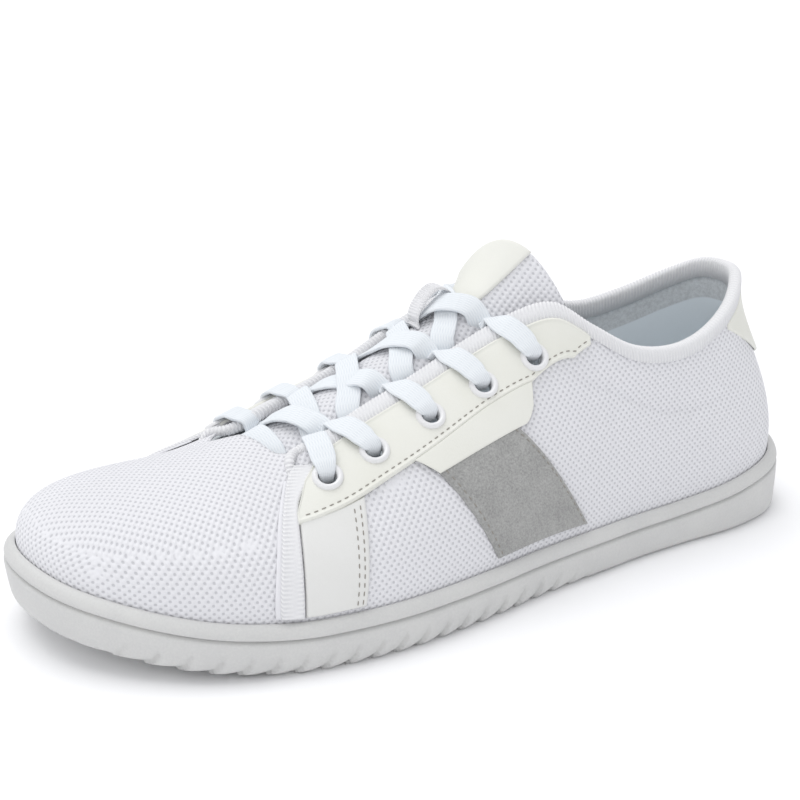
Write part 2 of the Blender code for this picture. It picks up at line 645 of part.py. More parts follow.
def build_overlays(collection, holes):
    """Patches of the skin; LOW starts a patch just above the rim."""
    # Front binding, down the quarter's front edge
    front = between(0.0, 1.0, 3)[:, None]
    for side in ("lateral", "medial"):
        turn = mirror_station if side == "medial" else np.asarray
        top = np.min(under_binding(turn(between(12.5, 13.3, 5))))
        climb = between(LOW, top, 10)[None, :]
        station = FRONT_EDGE - FRONT_WIDTH * front - 0.30 * climb ** 3
        patch("front_binding_" + side, turn(station), climb + 0.0 * front, RIBBED, collection)
    # Forefoot strap under the eyestay
    climb = between(LOW, STRAP_TOP, 6)[None, :]
    along_strap = between(0.0, 1.0, 5)[:, None]
    station = STRAP_FRONT - (STRAP_WIDTH + 0.22 * climb) * along_strap
    both_sides("forefoot_strap", station, climb + 0.0 * along_strap, OFF_WHITE, collection)
    # Grey panel of the side
    climb = between(LOW, PANEL_TOP, 6)[None, :]
    along_panel = between(0.0, 1.0, 6)[:, None]
    front_edge, rear_edge = (start + gain * climb for start, gain in (PANEL_FRONT, PANEL_REAR))
    station = front_edge + (rear_edge - front_edge) * along_panel
    both_sides("side_panel", station, climb + 0.0 * along_panel, GREY, collection)
    # Eyestay, from the throat's front corner to the collar
    station = between(EYESTAY_LOW[0][-1], EYESTAY_LOW[0][0], 13)[:, None]
    lower = np.interp(station, *EYESTAY_LOW)
    corner = np.interp(station, *EYESTAY_CORNER)
    for side, place in (("lateral", station), ("medial", mirror_station(station))):
        upper = np.minimum(corner, under_binding(place))
        climb = lower + (upper - lower) * between(0.0, 1.0, 4)[None, :]
        made = patch("eyestay_" + side, place + 0.0 * climb, climb, CREAM, collection)
        cut(made, holes)
    # Bare tab hanging from the eyestay, lateral side only
    station = between(TAB_SPAN[0], TAB_SPAN[1], 7)[:, None] + 0.0 * between(0.0, 1.0, 3)[None, :]
    upper = np.interp(station, *EYESTAY_LOW) - TAB_CLEAR
    climb = upper - TAB_DROP * between(0.0, 1.0, 3)[None, :]
    patch("side_tab", station, climb, CREAM, collection)
    # Heel tab round the back
    station = between(-HEEL_TAB_HALF, HEEL_TAB_HALF, 11)[:, None] + 0.0 * between(0.0, 1.0, 5)[None, :]
    low_edge = 0.45 + 0.36 * (np.abs(station) / HEEL_TAB_HALF) ** 1.6
    climb = low_edge + (under_binding(station) - low_edge) * between(0.0, 1.0, 5)[None, :]
    patch("heel_tab", station, climb, CREAM, collection)


def frame_at(station, climb):
    """Origin and a basis whose third axis is the skin's outward normal."""
    place = skin_point(station, climb)
    normal = skin_normal(station, climb)
    side = np.cross(normal, (0.0, 0.0, 1.0))
    side /= np.linalg.norm(side)
    return place, np.column_stack([side, np.cross(normal, side), normal])


def eyelet_sites():
    """Place and basis of every eyelet, lateral and medial in turn."""
    sites = []
    for station, climb in zip(EYELET_STATIONS, EYELET_HEIGHT):
        sites.append(frame_at(station, climb))
        sites.append(frame_at(mirror_station(station), climb))
    return sites


def build_hole_cutter(collection):
    """One cylinder at each eyelet, through eyestay and upper."""
    work = bmesh.new()
    for place, basis in eyelet_sites():
        made = bmesh.ops.create_cone(
            work, cap_ends=True, segments=HOLE_SIDES, radius1=EYELET_BARREL + GAP,
            radius2=EYELET_BARREL + GAP, depth=0.016)
        for vert in made["verts"]:
            vert.co = tuple(place + basis @ np.array(vert.co))
    mesh = bpy.data.meshes.new("hole_cutter")
    work.to_mesh(mesh)
    work.free()
    made = bpy.data.objects.new("hole_cutter", mesh)
    collection.objects.link(made)
    return make_cutter(made)


def build_eyelets(collection):
    """Turned ring: a flange on the eyestay and a barrel through the wall."""
    seat = 2 * GAP + LEATHER
    bottom = -(UPPER_WALL + GAP)
    profile = (
        (EYELET_HOLE + 0.0004, seat + EYELET_LIP),
        (EYELET_FLANGE - 0.0007, seat + EYELET_LIP),
        (EYELET_FLANGE, seat + 0.4 * EYELET_LIP),
        (EYELET_FLANGE, seat),
        (EYELET_BARREL, seat),
        (EYELET_BARREL, bottom),
        (EYELET_HOLE, bottom),
        (EYELET_HOLE, seat + 0.6 * EYELET_LIP),
    )
    mesh = bpy.data.meshes.new("eyelet")
    count = len(profile)
    edges = [(i, (i + 1) % count) for i in range(count)]
    mesh.from_pydata([(radius, 0.0, height) for radius, height in profile], edges, [])
    mesh.materials.append(material(RING))
    sides = ("lateral", "medial")
    for index, (place, basis) in enumerate(eyelet_sites()):
        name = "eyelet_%s_%d" % (sides[index % 2], index // 2 + 1)
        made = bpy.data.objects.new(name, mesh)
        collection.objects.link(made)
        turn = made.modifiers.new("turn", "SCREW")
        turn.steps = EYELET_STEPS
        turn.render_steps = EYELET_STEPS
        turn.merge_threshold = 0.00001
        turn.use_merge_vertices = True
        matrix = np.eye(4)
        matrix[:3, :3] = basis
        matrix[:3, 3] = place
        made.matrix_world = Matrix(matrix.tolist())


EYELET_TOP = 2 * GAP + LEATHER + EYELET_LIP
LACE_CLEAR = GAP + 0.5 * LACE_THICKNESS
EDGE_TOP = GAP + BINDING_EASE + BINDING_WALL
EDGE_CLEAR = 0.0008         # a lace's height over the binding's crest
PATCH_TOP = GAP + LEATHER
LACE_LEAN = (-0.05, 0.40, 0.37, 0.50, 0.60)     # in stations, for each eyelet row
OVER_SIDE = (-1, 1, -1, -1)                     # side whose strand is on top in each crossing
KEEPER_ROW = 3.20           # eyelet row of the last crossing, under the keeper


def eyelet_value(row, values):
    """Value at an eyelet row that need not be whole, 0 being the front row; before that row
    it runs on in a straight line."""
    return np.interp(row, range(EYELET_COUNT), values) + min(row, 0.0) * (values[1] - values[0])


def tongue_length(x):
    """Length along the tongue at which its ridge is at x."""
    lengths = between(0.0, 1.0, 201)
    return np.interp(-x, -tongue_point(lengths, 0.0)[:, 0], lengths)


def row_length(row):
    """Length along the tongue that is level with an eyelet row."""
    station = eyelet_value(row, EYELET_STATIONS)
    edge_x = skin_point(station, 1.0)[0], skin_point(mirror_station(station), 1.0)[0]
    return tongue_length(0.5 * sum(edge_x))


def on_tongue(row, across, lift=0.0):
    """Place of a lace on the tongue, level with an eyelet row."""
    return tongue_skin(row_length(row), across, LACE_CLEAR + GAP + lift)


def side_station(row, side, lean=0.0):
    """Station of an eyelet row on one side, 1 lateral or -1 medial; a lateral lace leans
    towards the toe, more so at the edge than at its eyelet."""
    station = eyelet_value(row, EYELET_STATIONS)
    return station + lean * eyelet_value(row, LACE_LEAN) if side > 0 else mirror_station(station)


def over_edge(row, side, climb, lift, lean=0.0):
    """Place of a lace above the skin on one side."""
    return skin(side_station(row, side, lean), climb, lift + LACE_CLEAR)


def over_crest(row, side):
    """Place of a lace just inside the binding's crest, no lower than on it."""
    station = side_station(row, side, 1.0)
    down = skin_point(station, 0.97) - skin_point(station, 1.0)
    down /= np.linalg.norm(down)
    return skin(station, 1.0, EDGE_TOP + EDGE_CLEAR + LACE_CLEAR) - down * 2 * EDGE_TOP


def eyelet_end(row, side):
    """A lace's last two places: over the throat's edge and down to the eyelet."""
    climb = eyelet_value(row, EYELET_HEIGHT)
    return [
        over_crest(row, side),
        over_edge(row, side, 0.96, EDGE_TOP + EDGE_CLEAR, 0.9),
        over_edge(row, side, 0.5 * (1.0 + climb), EYELET_TOP + GAP, 0.5),
        over_edge(row, side, climb + 0.01, EYELET_TOP + EDGE_CLEAR),
    ]


def smooth_path(places, count=12):
    """Catmull-Rom through a few places, read at even steps of its length."""
    places = np.array(places)
    run = np.r_[0.0, np.cumsum(np.linalg.norm(np.diff(places, axis=0), axis=1))]
    padded = np.vstack([2 * places[0] - places[1], places, 2 * places[-1] - places[-2]])
    at = np.interp(between(0.0, run[-1], count), run, np.arange(len(places)))
    base = np.clip(at.astype(int), 0, len(places) - 2)
    t = (at - base)[:, None]
    a, b, c, d = (padded[base + k] for k in range(4))
    return b + 0.5 * t * (c - a + t * (2 * a - 5 * b + 4 * c - d + t * (3 * (b - c) + d - a)))


TUCK = 0.56      # where a lace that comes from under the edge is first modelled
BAR_ROW = -0.45  # eyelet row of the bar in front of the first eyelets
BAR_BEND = 0.4


def strand_path(row, side, crossing_row, tucked, lift):
    """A lace from one side of an eyelet row to the other side of the next row; tucked
    ones start under the edge, and lift raises the middle over the strand below."""
    middle = [on_tongue(crossing_row, 0.0, lift)]
    if tucked:
        head = [on_tongue(row, TUCK * side), on_tongue(0.5 * (row + crossing_row), 0.42 * side, 0.3 * lift)]
    else:
        head = eyelet_end(row, side)[::-1]
    over_next = on_tongue(row + 0.50, -0.46 * side, LACE_THICKNESS + 3 * GAP)
    tail = eyelet_end(row + 1, -side)
    return smooth_path(head + middle + [over_next] + tail)


def ribbon(path, sideways, start):
    """Flat lace along a path, six-sided, closed at both ends."""
    run = np.gradient(path, axis=0)
    run /= np.linalg.norm(run, axis=1, keepdims=True)
    width = sideways - run * (run @ sideways)[:, None]
    width /= np.linalg.norm(width, axis=1, keepdims=True)
    normal = np.cross(run, width)
    half, thick = 0.5 * LACE_WIDTH, 0.5 * LACE_THICKNESS
    shape = ((-1.0, 0.0), (-0.75, -1.0), (0.75, -1.0), (1.0, 0.0), (0.75, 1.0), (-0.75, 1.0))
    grid = np.stack([path + width * half * a + normal * thick * b for a, b in shape], 1)
    count = len(shape)
    faces = quads(len(path), count, close_columns=True, start=start)
    faces.append(tuple(start + k for k in range(count)))
    faces.append(tuple(start + (len(path) - 1) * count + k for k in reversed(range(count))))
    return grid.reshape(-1, 3), faces


def lace_part(name, path, collection):
    points, faces = ribbon(path, np.array([-0.93, 0.0, 0.36]), 0)
    return add_object(name, points, faces, CORD, collection)


def build_laces(collection, hidden):
    """A bar under the front row, then a crossing after each row, each one joined solid.
    In the first crossing both strands come from eyelets, later ones from under the edge."""
    bar = [on_tongue(BAR_ROW, TUCK * side) for side in (1.0, BAR_BEND, -BAR_BEND, -1.0)]
    lace_part("lace_bar", smooth_path(bar), collection)
    over_lift = LACE_THICKNESS - 0.0002
    for row in range(EYELET_COUNT - 1):
        tucked = row > 0
        last = row == EYELET_COUNT - 2
        crossing_row = row + (0.10 if tucked else 0.38)
        base_lift = 0.0
        if last:
            crossing_row = KEEPER_ROW
            base_lift = PATCH_TOP
        upper_side = OVER_SIDE[row]
        low = strand_path(row, -upper_side, crossing_row, tucked, base_lift)
        high = strand_path(row, upper_side, crossing_row, tucked, base_lift + over_lift)
        under = lace_part("lace_crossing_%d" % (row + 1), low, collection)
        above = make_cutter(lace_part("lace_over_%d" % (row + 1), high, hidden))
        join = under.modifiers.new("join", "BOOLEAN")
        join.operation = "UNION"
        join.solver = "EXACT"
        join.object = above


def main():
    for made in list(bpy.data.objects):
        bpy.data.objects.remove(made)
    shoe = new_collection("barefoot_shoe")
    cutters = new_collection("cutters")
    holes = build_hole_cutter(cutters)
    grooves = build_grooves(cutters)
    build_outsole(shoe, grooves)
    build_insole(shoe)
    build_upper(shoe, holes)
    build_tongue(shoe)
    build_tongue_patch(shoe)
    build_lace_keeper(shoe)
    build_collar_binding(shoe)
    build_overlays(shoe, holes)
    build_eyelets(shoe)
    build_laces(shoe, cutters)


main()
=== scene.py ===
"""Looks of a left barefoot shoe: knit upper, leather overlays, flat lace, thin rubber cup sole.

Every cloth and leather piece is a patch of one skin, skin(station, climb, lift): station
counts the columns round the foot, climb goes up a column from the sole's rim to the edge
of collar and throat, and lift is the distance off the skin.  Metres; +X from heel to toe,
+Y to the lateral side, +Z up.
"""

import math
from collections import namedtuple

import bpy
import numpy as np
from mathutils import Matrix


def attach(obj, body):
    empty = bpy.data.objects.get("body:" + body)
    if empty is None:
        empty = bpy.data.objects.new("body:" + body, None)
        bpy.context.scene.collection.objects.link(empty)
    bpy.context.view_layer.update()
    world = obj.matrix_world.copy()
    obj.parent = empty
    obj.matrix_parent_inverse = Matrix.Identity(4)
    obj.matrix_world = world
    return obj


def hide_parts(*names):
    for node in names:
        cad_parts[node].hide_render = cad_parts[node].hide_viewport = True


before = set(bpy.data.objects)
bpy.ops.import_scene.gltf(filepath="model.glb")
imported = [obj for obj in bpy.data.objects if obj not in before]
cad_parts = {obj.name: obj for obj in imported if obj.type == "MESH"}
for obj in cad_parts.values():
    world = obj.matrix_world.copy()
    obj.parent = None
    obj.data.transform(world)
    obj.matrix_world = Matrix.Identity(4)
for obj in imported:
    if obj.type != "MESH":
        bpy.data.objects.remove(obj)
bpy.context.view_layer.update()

# Camera: its place, the three directions of its frame and its lens for a 36 mm sensor
CAMERA_PLACE = (0.3318, 0.3784, 0.2192)
CAMERA_FORWARD = (-0.4604, -0.8180, -0.3447)
CAMERA_RIGHT = (-0.8722, 0.4892, 0.0040)
CAMERA_UP = (-0.1654, -0.3025, 0.9387)
CAMERA_LENS = 62.8

# Driving sizes of the last and the sole
LENGTH = 0.287              # outsole, heel to toe
BALL_WIDTH = 0.106          # outsole at the ball of the foot
UPPER_HEIGHT = 0.082        # heel collar above the cup floor
HEEL_SEAT = 0.038           # heel back to the origin
SOLE_THICKNESS = 0.006      # floor to cup floor
CUP_DEPTH = 0.010           # cup floor to the rim's lip at the ball
TOE_SPRING = 0.011
TOE_BUMPER = 0.004          # how far the rim climbs at the toe
HEEL_BUMPER = 0.0105        # and at the heel
RIM_WALL = 0.0042           # rubber outside the upper
ARCH_LIFT = 0.0015          # waist off the floor on the medial side
HEEL_ROUND = 0.003          # tread's rounding behind the heel

# Walls, layers and clearances
UPPER_WALL = 0.0020
GAP = 0.0003
LIP_TUCK = 0.0010           # upper's first ring under the lip
LEATHER = 0.0012
BINDING_WALL = 0.0010
BINDING_INSIDE = 0.0050     # how far the collar's tape reaches down inside
INSOLE_THICKNESS = 0.0030
TONGUE_THICKNESS = 0.0030

# Lacing
EYELET_COUNT = 5
LACE_WIDTH = 0.0080
LACE_THICKNESS = 0.0016

# One row for each column of the skin, from the heel back along the lateral side, round
# the toe and back along the medial side.  foot_x, edge_x are shares of LENGTH from the
# heel back; foot_y, edge_y and swell of BALL_WIDTH; edge_z of UPPER_HEIGHT; rise and
# drop of the column's height; reach of its run from foot to edge.
Section = namedtuple("Section", "foot_x foot_y edge_x edge_y edge_z rise swell reach drop")
SECTIONS = (
    Section(0.015, 0.009, 0.060, -0.028, 1.000, 0.45, 0.024, -0.20, 0.30),
    Section(0.025, 0.151, 0.070, 0.075, 0.988, 0.45, 0.024, -0.10, 0.30),
    Section(0.062, 0.258, 0.109, 0.170, 0.902, 0.45, 0.024, 0.00, 0.30),
    Section(0.130, 0.308, 0.164, 0.226, 0.817, 0.45, 0.014, 0.10, 0.28),
    Section(0.210, 0.317, 0.220, 0.245, 0.780, 0.45, 0.008, 0.20, 0.26),
    Section(0.283, 0.330, 0.279, 0.241, 0.811, 0.45, 0.003, 0.30, 0.26),
    Section(0.349, 0.354, 0.328, 0.198, 0.909, 0.45, 0.000, 0.38, 0.26),
    Section(0.401, 0.373, 0.370, 0.132, 1.006, 0.45, 0.000, 0.42, 0.22),
    Section(0.454, 0.396, 0.419, 0.099, 0.976, 0.45, 0.000, 0.44, 0.20),
    Section(0.513, 0.429, 0.482, 0.085, 0.884, 0.45, 0.005, 0.44, 0.18),
    Section(0.576, 0.458, 0.552, 0.101, 0.788, 0.44, 0.009, 0.45, 0.17),
    Section(0.638, 0.475, 0.622, 0.121, 0.705, 0.44, 0.013, 0.47, 0.17),
    Section(0.701, 0.470, 0.683, 0.146, 0.630, 0.42, 0.013, 0.50, 0.17),
    Section(0.767, 0.443, 0.719, 0.120, 0.597, 0.42, 0.013, 0.52, 0.15),
    Section(0.840, 0.377, 0.731, 0.022, 0.614, 0.55, 0.014, 0.49, 0.15),
    Section(0.907, 0.255, 0.738, -0.040, 0.614, 0.67, 0.014, 0.48, 0.20),
    Section(0.961, 0.090, 0.744, -0.080, 0.595, 0.73, 0.017, 0.46, 0.21),
    Section(0.983, -0.123, 0.750, -0.121, 0.571, 0.83, 0.017, 0.45, 0.23),
    Section(0.966, -0.297, 0.755, -0.154, 0.551, 0.90, 0.017, 0.44, 0.28),
    Section(0.907, -0.406, 0.754, -0.194, 0.532, 0.74, 0.017, 0.44, 0.28),
    Section(0.833, -0.443, 0.743, -0.220, 0.544, 0.60, 0.014, 0.44, 0.26),
    Section(0.757, -0.453, 0.709, -0.212, 0.583, 0.48, 0.009, 0.46, 0.14),
    Section(0.684, -0.439, 0.649, -0.208, 0.660, 0.45, 0.009, 0.46, 0.12),
    Section(0.607, -0.415, 0.586, -0.215, 0.742, 0.50, 0.009, 0.44, 0.14),
    Section(0.534, -0.382, 0.523, -0.224, 0.845, 0.50, 0.005, 0.44, 0.16),
    Section(0.464, -0.344, 0.454, -0.235, 0.945, 0.50, 0.005, 0.44, 0.18),
    Section(0.401, -0.321, 0.391, -0.256, 1.010, 0.50, 0.005, 0.40, 0.20),
    Section(0.342, -0.307, 0.335, -0.292, 0.933, 0.50, 0.008, 0.30, 0.26),
    Section(0.276, -0.297, 0.276, -0.302, 0.841, 0.45, 0.009, 0.20, 0.28),
    Section(0.203, -0.288, 0.217, -0.297, 0.799, 0.45, 0.014, 0.20, 0.28),
    Section(0.133, -0.274, 0.157, -0.269, 0.841, 0.45, 0.019, 0.10, 0.28),
    Section(0.063, -0.226, 0.105, -0.208, 0.921, 0.45, 0.024, 0.00, 0.30),
    Section(0.025, -0.127, 0.072, -0.123, 0.988, 0.45, 0.024, -0.10, 0.30),
)
STATIONS = len(SECTIONS)
THROAT_LATERAL = 13.0       # station of the throat's front corner, lateral side
THROAT_MEDIAL = 20.0
EYELET_STATIONS = (12.00, 11.05, 9.93, 8.85, 7.70)
EYELET_HEIGHT = (0.750, 0.745, 0.750, 0.740, 0.750)    # share of the column, as skin() counts it

# One row for each arch of the tongue, from under the vamp to its tip.  x and skew are
# shares of LENGTH, y and half of BALL_WIDTH, z and drop of UPPER_HEIGHT; square is the
# power of the drop, and skew sets the lateral side back and the medial side forward.
Arch = namedtuple("Arch", "x y z half drop square skew")
TONGUE_ARCHES = (
    Arch(0.765, -0.066, 0.510, 0.165, 0.060, 2.6, 0.000),
    Arch(0.725, -0.058, 0.558, 0.200, 0.105, 2.6, 0.000),
    Arch(0.676, -0.058, 0.640, 0.204, 0.165, 2.6, 0.000),
    Arch(0.614, -0.062, 0.742, 0.204, 0.210, 2.7, 0.000),
    Arch(0.551, -0.066, 0.840, 0.196, 0.240, 2.8, 0.000),
    Arch(0.482, -0.072, 0.955, 0.176, 0.250, 2.8, 0.004),
    Arch(0.432, -0.070, 1.078, 0.158, 0.250, 2.4, 0.020),
    Arch(0.388, -0.072, 1.232, 0.182, 0.245, 2.0, 0.044),
)
TONGUE_MEDIAL = 0.76        # its medial half-width, as a share of half


def unit(vectors):
    """Vectors of length 1 in the same directions."""
    return vectors / np.linalg.norm(vectors, axis=-1, keepdims=True)


def span(a, b, c, d, t):
    """Catmull-Rom from b at t = 0 to c at t = 1: the cubic whose slopes there are half of
    c - a and half of d - b."""
    return b + 0.5 * t * (c - a + t * (2 * a - 5 * b + 4 * c - d + t * (3 * (b - c) + d - a)))


def along(rows, station):
    """Rows read between stations by a closed Catmull-Rom curve."""
    station = np.asarray(station, float)
    base = np.floor(station).astype(int)
    t = (station - base)[..., None]
    return span(*(rows[(base + k) % len(rows)] for k in (-1, 0, 1, 2)), t)


def section_rows():
    """SECTIONS in metres: foot x, y; edge x, y, z; rise, swell, reach, drop."""
    share = np.array(SECTIONS, float)
    rows = share.copy()
    rows[:, [0, 2]] = share[:, [0, 2]] * LENGTH - HEEL_SEAT
    rows[:, [1, 3, 6]] = share[:, [1, 3, 6]] * BALL_WIDTH
    rows[:, 4] = share[:, 4] * UPPER_HEIGHT + SOLE_THICKNESS
    return rows


ROWS = section_rows()
BALL_X = 0.727 * LENGTH - HEEL_SEAT     # where the toe spring starts
TOE_X = LENGTH - HEEL_SEAT
HEEL_X = -HEEL_SEAT
WAIST_X = 0.36 * LENGTH - HEEL_SEAT
BUMPER_X = 0.27 * LENGTH - HEEL_SEAT    # where the heel bumper starts to climb


def past(x, start, end):
    """0 before start, 1 at end."""
    return np.clip((np.asarray(x, float) - start) / (end - start), 0.0, None)


def spring(x):
    """Height of the sole's underside from its toe spring."""
    return TOE_SPRING * past(x, BALL_X, TOE_X) ** 1.7


def tread_height(x, y):
    """Underside: toe spring, the heel's rounding and the medial arch."""
    arch = np.exp(-((x - WAIST_X) / (0.11 * LENGTH)) ** 4)
    inner = np.clip(-np.asarray(y) / (0.25 * BALL_WIDTH), 0.0, 1.0)
    back = past(x, 0.07 * LENGTH - HEEL_SEAT, HEEL_X)
    return spring(x) + ARCH_LIFT * arch * inner + HEEL_ROUND * back ** 2


def floor_height(x):
    """Cup floor, on which insole and upper stand."""
    return spring(x) + SOLE_THICKNESS


def lip_height(x):
    """Top of the rim: higher round the toe and the heel."""
    toe = TOE_BUMPER * past(x, BALL_X, TOE_X) ** 2
    heel = HEEL_BUMPER * past(x, BUMPER_X, HEEL_X) ** 2
    return SOLE_THICKNESS + CUP_DEPTH + 0.9 * spring(x) + toe + heel


def outline(station, offset=0.0):
    """Foot outline at the lip, moved outwards by offset, and its outward direction."""
    step = 1e-3
    foot = along(ROWS[:, :2], station)
    run = along(ROWS[:, :2], station + step) - along(ROWS[:, :2], station - step)
    out = unit(np.stack([-run[..., 1], run[..., 0]], -1))
    return foot + out * offset, out


def skin_point(station, climb):
    """A column is a cubic from the lip to the edge for climb 0 to 1, and goes straight
    down to the cup floor for climb 0 to -1."""
    station, climb = np.broadcast_arrays(np.asarray(station, float), np.asarray(climb, float))
    rows = along(ROWS, station)
    foot, out = outline(station)
    edge = rows[..., 2:5]
    lip = lip_height(foot[..., 0]) - LIP_TUCK
    start = np.concatenate([foot, lip[..., None]], -1)
    tall = edge[..., 2:3] - start[..., 2:3]
    first = start + np.concatenate([out * rows[..., 6:7], rows[..., 5:6] * tall], -1)
    inward = foot - edge[..., :2]
    second = edge + np.concatenate([inward * rows[..., 7:8], -rows[..., 8:9] * tall], -1)
    t = np.clip(climb, 0.0, 1.0)[..., None]
    point = (1 - t) ** 3 * start + 3 * (1 - t) ** 2 * t * first
    point = point + 3 * (1 - t) * t ** 2 * second + t ** 3 * edge
    skirt = lip - floor_height(foot[..., 0]) - GAP
    point[..., 2] += np.minimum(climb, 0.0) * skirt
    return point


def skin_normal(station, climb):
    """Outward direction of the skin, square to a small step across and a small step up."""
    step = 2e-3
    t = np.clip(climb, 0.0, 1.0)
    across = skin_point(station + step, t) - skin_point(station - step, t)
    above, below = np.minimum(t + step, 1.0), np.maximum(t - step, 0.0)
    return unit(np.cross(skin_point(station, above) - skin_point(station, below), across))


def skin(station, climb, lift=0.0):
    """Point of the skin, lifted along its normal; climb past 1 runs on beyond the edge."""
    station, climb, lift = np.broadcast_arrays(
        np.asarray(station, float), np.asarray(climb, float), np.asarray(lift, float))
    return skin_point(station, climb) + skin_normal(station, climb) * lift[..., None]


def climb_below_edge(station, distance):
    """climb at a distance down the column from the edge, measured along the skin."""
    fine = np.linspace(1.0, 0.0, 81)
    result = np.empty(np.broadcast(station, distance).shape)
    station, distance = np.broadcast_arrays(station, distance)
    for index in np.ndindex(result.shape):
        line = skin_point(np.full(fine.shape, station[index]), fine)
        run = np.r_[0.0, np.cumsum(np.linalg.norm(np.diff(line, axis=0), axis=1))]
        result[index] = np.interp(distance[index], run, fine)
    return result


def tongue_rows():
    """TONGUE_ARCHES in metres, with square as it is."""
    share = np.array(TONGUE_ARCHES, float)
    rows = share.copy()
    rows[:, 0] = share[:, 0] * LENGTH - HEEL_SEAT
    rows[:, 6] = share[:, 6] * LENGTH
    rows[:, [1, 3]] = share[:, [1, 3]] * BALL_WIDTH
    rows[:, 2] = share[:, 2] * UPPER_HEIGHT + SOLE_THICKNESS
    rows[:, 4] = share[:, 4] * UPPER_HEIGHT
    return rows


TONGUE = tongue_rows()


def tongue_point(length, across):
    """Top of the tongue: length 0 under the vamp to 1 at the tip, across -1 medial to 1
    lateral; each cross-section is an arch whose sides drop by a power."""
    length, across = np.broadcast_arrays(np.asarray(length, float), np.asarray(across, float))
    last = len(TONGUE) - 1
    place = np.clip(length, 0.0, 1.0) * last
    base = np.clip(np.floor(place).astype(int), 0, last - 1)
    t = (place - base)[..., None]
    rows = span(*(TONGUE[np.clip(base + k, 0, last)] for k in (-1, 0, 1, 2)), t)
    x, y, z, half, drop, square, skew = np.moveaxis(rows, -1, 0)
    side = np.abs(across)
    half = np.where(across < 0, TONGUE_MEDIAL * half, half)
    return np.stack([x - across * skew, y + across * half, z - drop * side ** square], -1)


def tongue_normal(length, across):
    """Direction off the tongue's top, square to a small step along and a small step across."""
    step = 2e-3
    ahead, behind = np.minimum(length + step, 1.0), np.maximum(length - step, 0.0)
    side = tongue_point(length, across + step) - tongue_point(length, across - step)
    return unit(np.cross(side, tongue_point(ahead, across) - tongue_point(behind, across)))


def tongue_skin(length, across, lift=0.0):
    """Point of the tongue's top, lifted along its normal."""
    length, across, lift = np.broadcast_arrays(
        np.asarray(length, float), np.asarray(across, float), np.asarray(lift, float))
    return tongue_point(length, across) + tongue_normal(length, across) * lift[..., None]


# Meshes

BODY = "root"


def between(first, last, count):
    """Even steps from first to last."""
    return np.linspace(first, last, count)


def grid_faces(rows, columns, wrap_rows=False, wrap_columns=False):
    """Quads of a grid whose point i, j has the index i * columns + j."""
    i = np.arange(rows if wrap_rows else rows - 1)[:, None]
    j = np.arange(columns if wrap_columns else columns - 1)[None, :]
    k, m = (i + 1) % rows, (j + 1) % columns
    return np.stack(np.broadcast_arrays(
        i * columns + j, k * columns + j, k * columns + m, i * columns + m), -1).reshape(-1, 4)


def open_edges(faces, count):
    """Directed edges of quads that no second quad uses."""
    start = faces.ravel()
    end = np.roll(faces, -1, axis=1).ravel()
    lone = ~np.isin(start * count + end, end * count + start)
    return start[lone], end[lone]


def signed_volume(points, faces):
    """Sum of the tetrahedra from the origin to each triangle of the quads."""
    a, b, c, d = (points[faces[:, k]] for k in range(4))
    return float((np.cross(a, b) * c).sum() + (np.cross(a, c) * d).sum())


def add_mesh(name, points, faces, finish, nodes=(), uv=None, kinds=None):
    """A piece from points and quads (the last two corners may be one), with its UV in metres,
    turned so that its volume is positive."""
    points = np.asarray(points, float).reshape(-1, 3)
    faces = np.asarray(faces)
    if signed_volume(points, faces) < 0:
        faces = faces[:, ::-1]
    mesh = bpy.data.meshes.new(name)
    mesh.from_pydata(points.tolist(), [], [tuple(dict.fromkeys(face)) for face in faces.tolist()])
    if uv is not None:
        layer = mesh.uv_layers.new(name="surface")
        corner = np.empty(len(mesh.loops), np.int32)
        mesh.loops.foreach_get("vertex_index", corner)
        layer.data.foreach_set("uv", np.asarray(uv, float).reshape(-1, 2)[corner].ravel())
    for key, values in (kinds or {}).items():
        attribute = mesh.attributes.new(key, "FLOAT", "POINT")
        attribute.data.foreach_set("value", np.asarray(values, float).ravel())
    mesh.materials.append(finish)
    mesh.shade_smooth()
    piece = bpy.data.objects.new(name, mesh)
    bpy.context.scene.collection.objects.link(piece)
    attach(piece, BODY)
    if nodes:
        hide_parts(*nodes)
    return piece


def lengths(grid, axis):
    """Length run along one axis of a grid of points."""
    step = np.linalg.norm(np.diff(grid, axis=axis), axis=-1)
    first = np.zeros_like(np.take(step, [0], axis=axis))
    return np.concatenate([first, np.cumsum(step, axis=axis)], axis=axis)


def border_distance(grid):
    """Distance of each grid point from the nearest of the grid's four borders."""
    down, across = lengths(grid, 0), lengths(grid, 1)
    return np.minimum(np.minimum(down, down[-1:] - down), np.minimum(across, across[:, -1:] - across))


def crowded(count, ends=0.18):
    """Shares from 0 to 1 that stand closer near both ends."""
    t = between(0.0, 1.0, count)
    return t - ends * np.sin(2 * math.pi * t) / (2 * math.pi) * 3.2


def slab(name, outer, inner, finish, nodes=(), wrap=False, keep=None, kinds=None):
    """Closed piece between two grids, its open edges joined; keep drops faces of both."""
    rows, columns = outer.shape[:2]
    faces = grid_faces(rows, columns, wrap_rows=wrap)
    if keep is not None:
        faces = faces[keep(outer.reshape(-1, 3)[faces].mean(1))]
    count = rows * columns
    start, end = open_edges(faces, count)
    rim = np.stack([end, start, start + count, end + count], -1)
    points = np.concatenate([outer.reshape(-1, 3), inner.reshape(-1, 3)])
    uv = np.stack([lengths(outer, 0), lengths(outer, 1)], -1)
    uv = np.concatenate([uv.reshape(-1, 2), uv.reshape(-1, 2)])
    if kinds:
        kinds = {key: np.concatenate([np.ravel(v), np.ravel(v)]) for key, v in kinds.items()}
    return add_mesh(name, points, np.concatenate([faces, faces[:, ::-1] + count, rim]),
                    finish, nodes, uv, kinds)


EDGE_SHARE = 0.30           # of a sheet's thickness, at its border
RIM_INSET, RIM_WIDTH = 0.0008, 0.0005


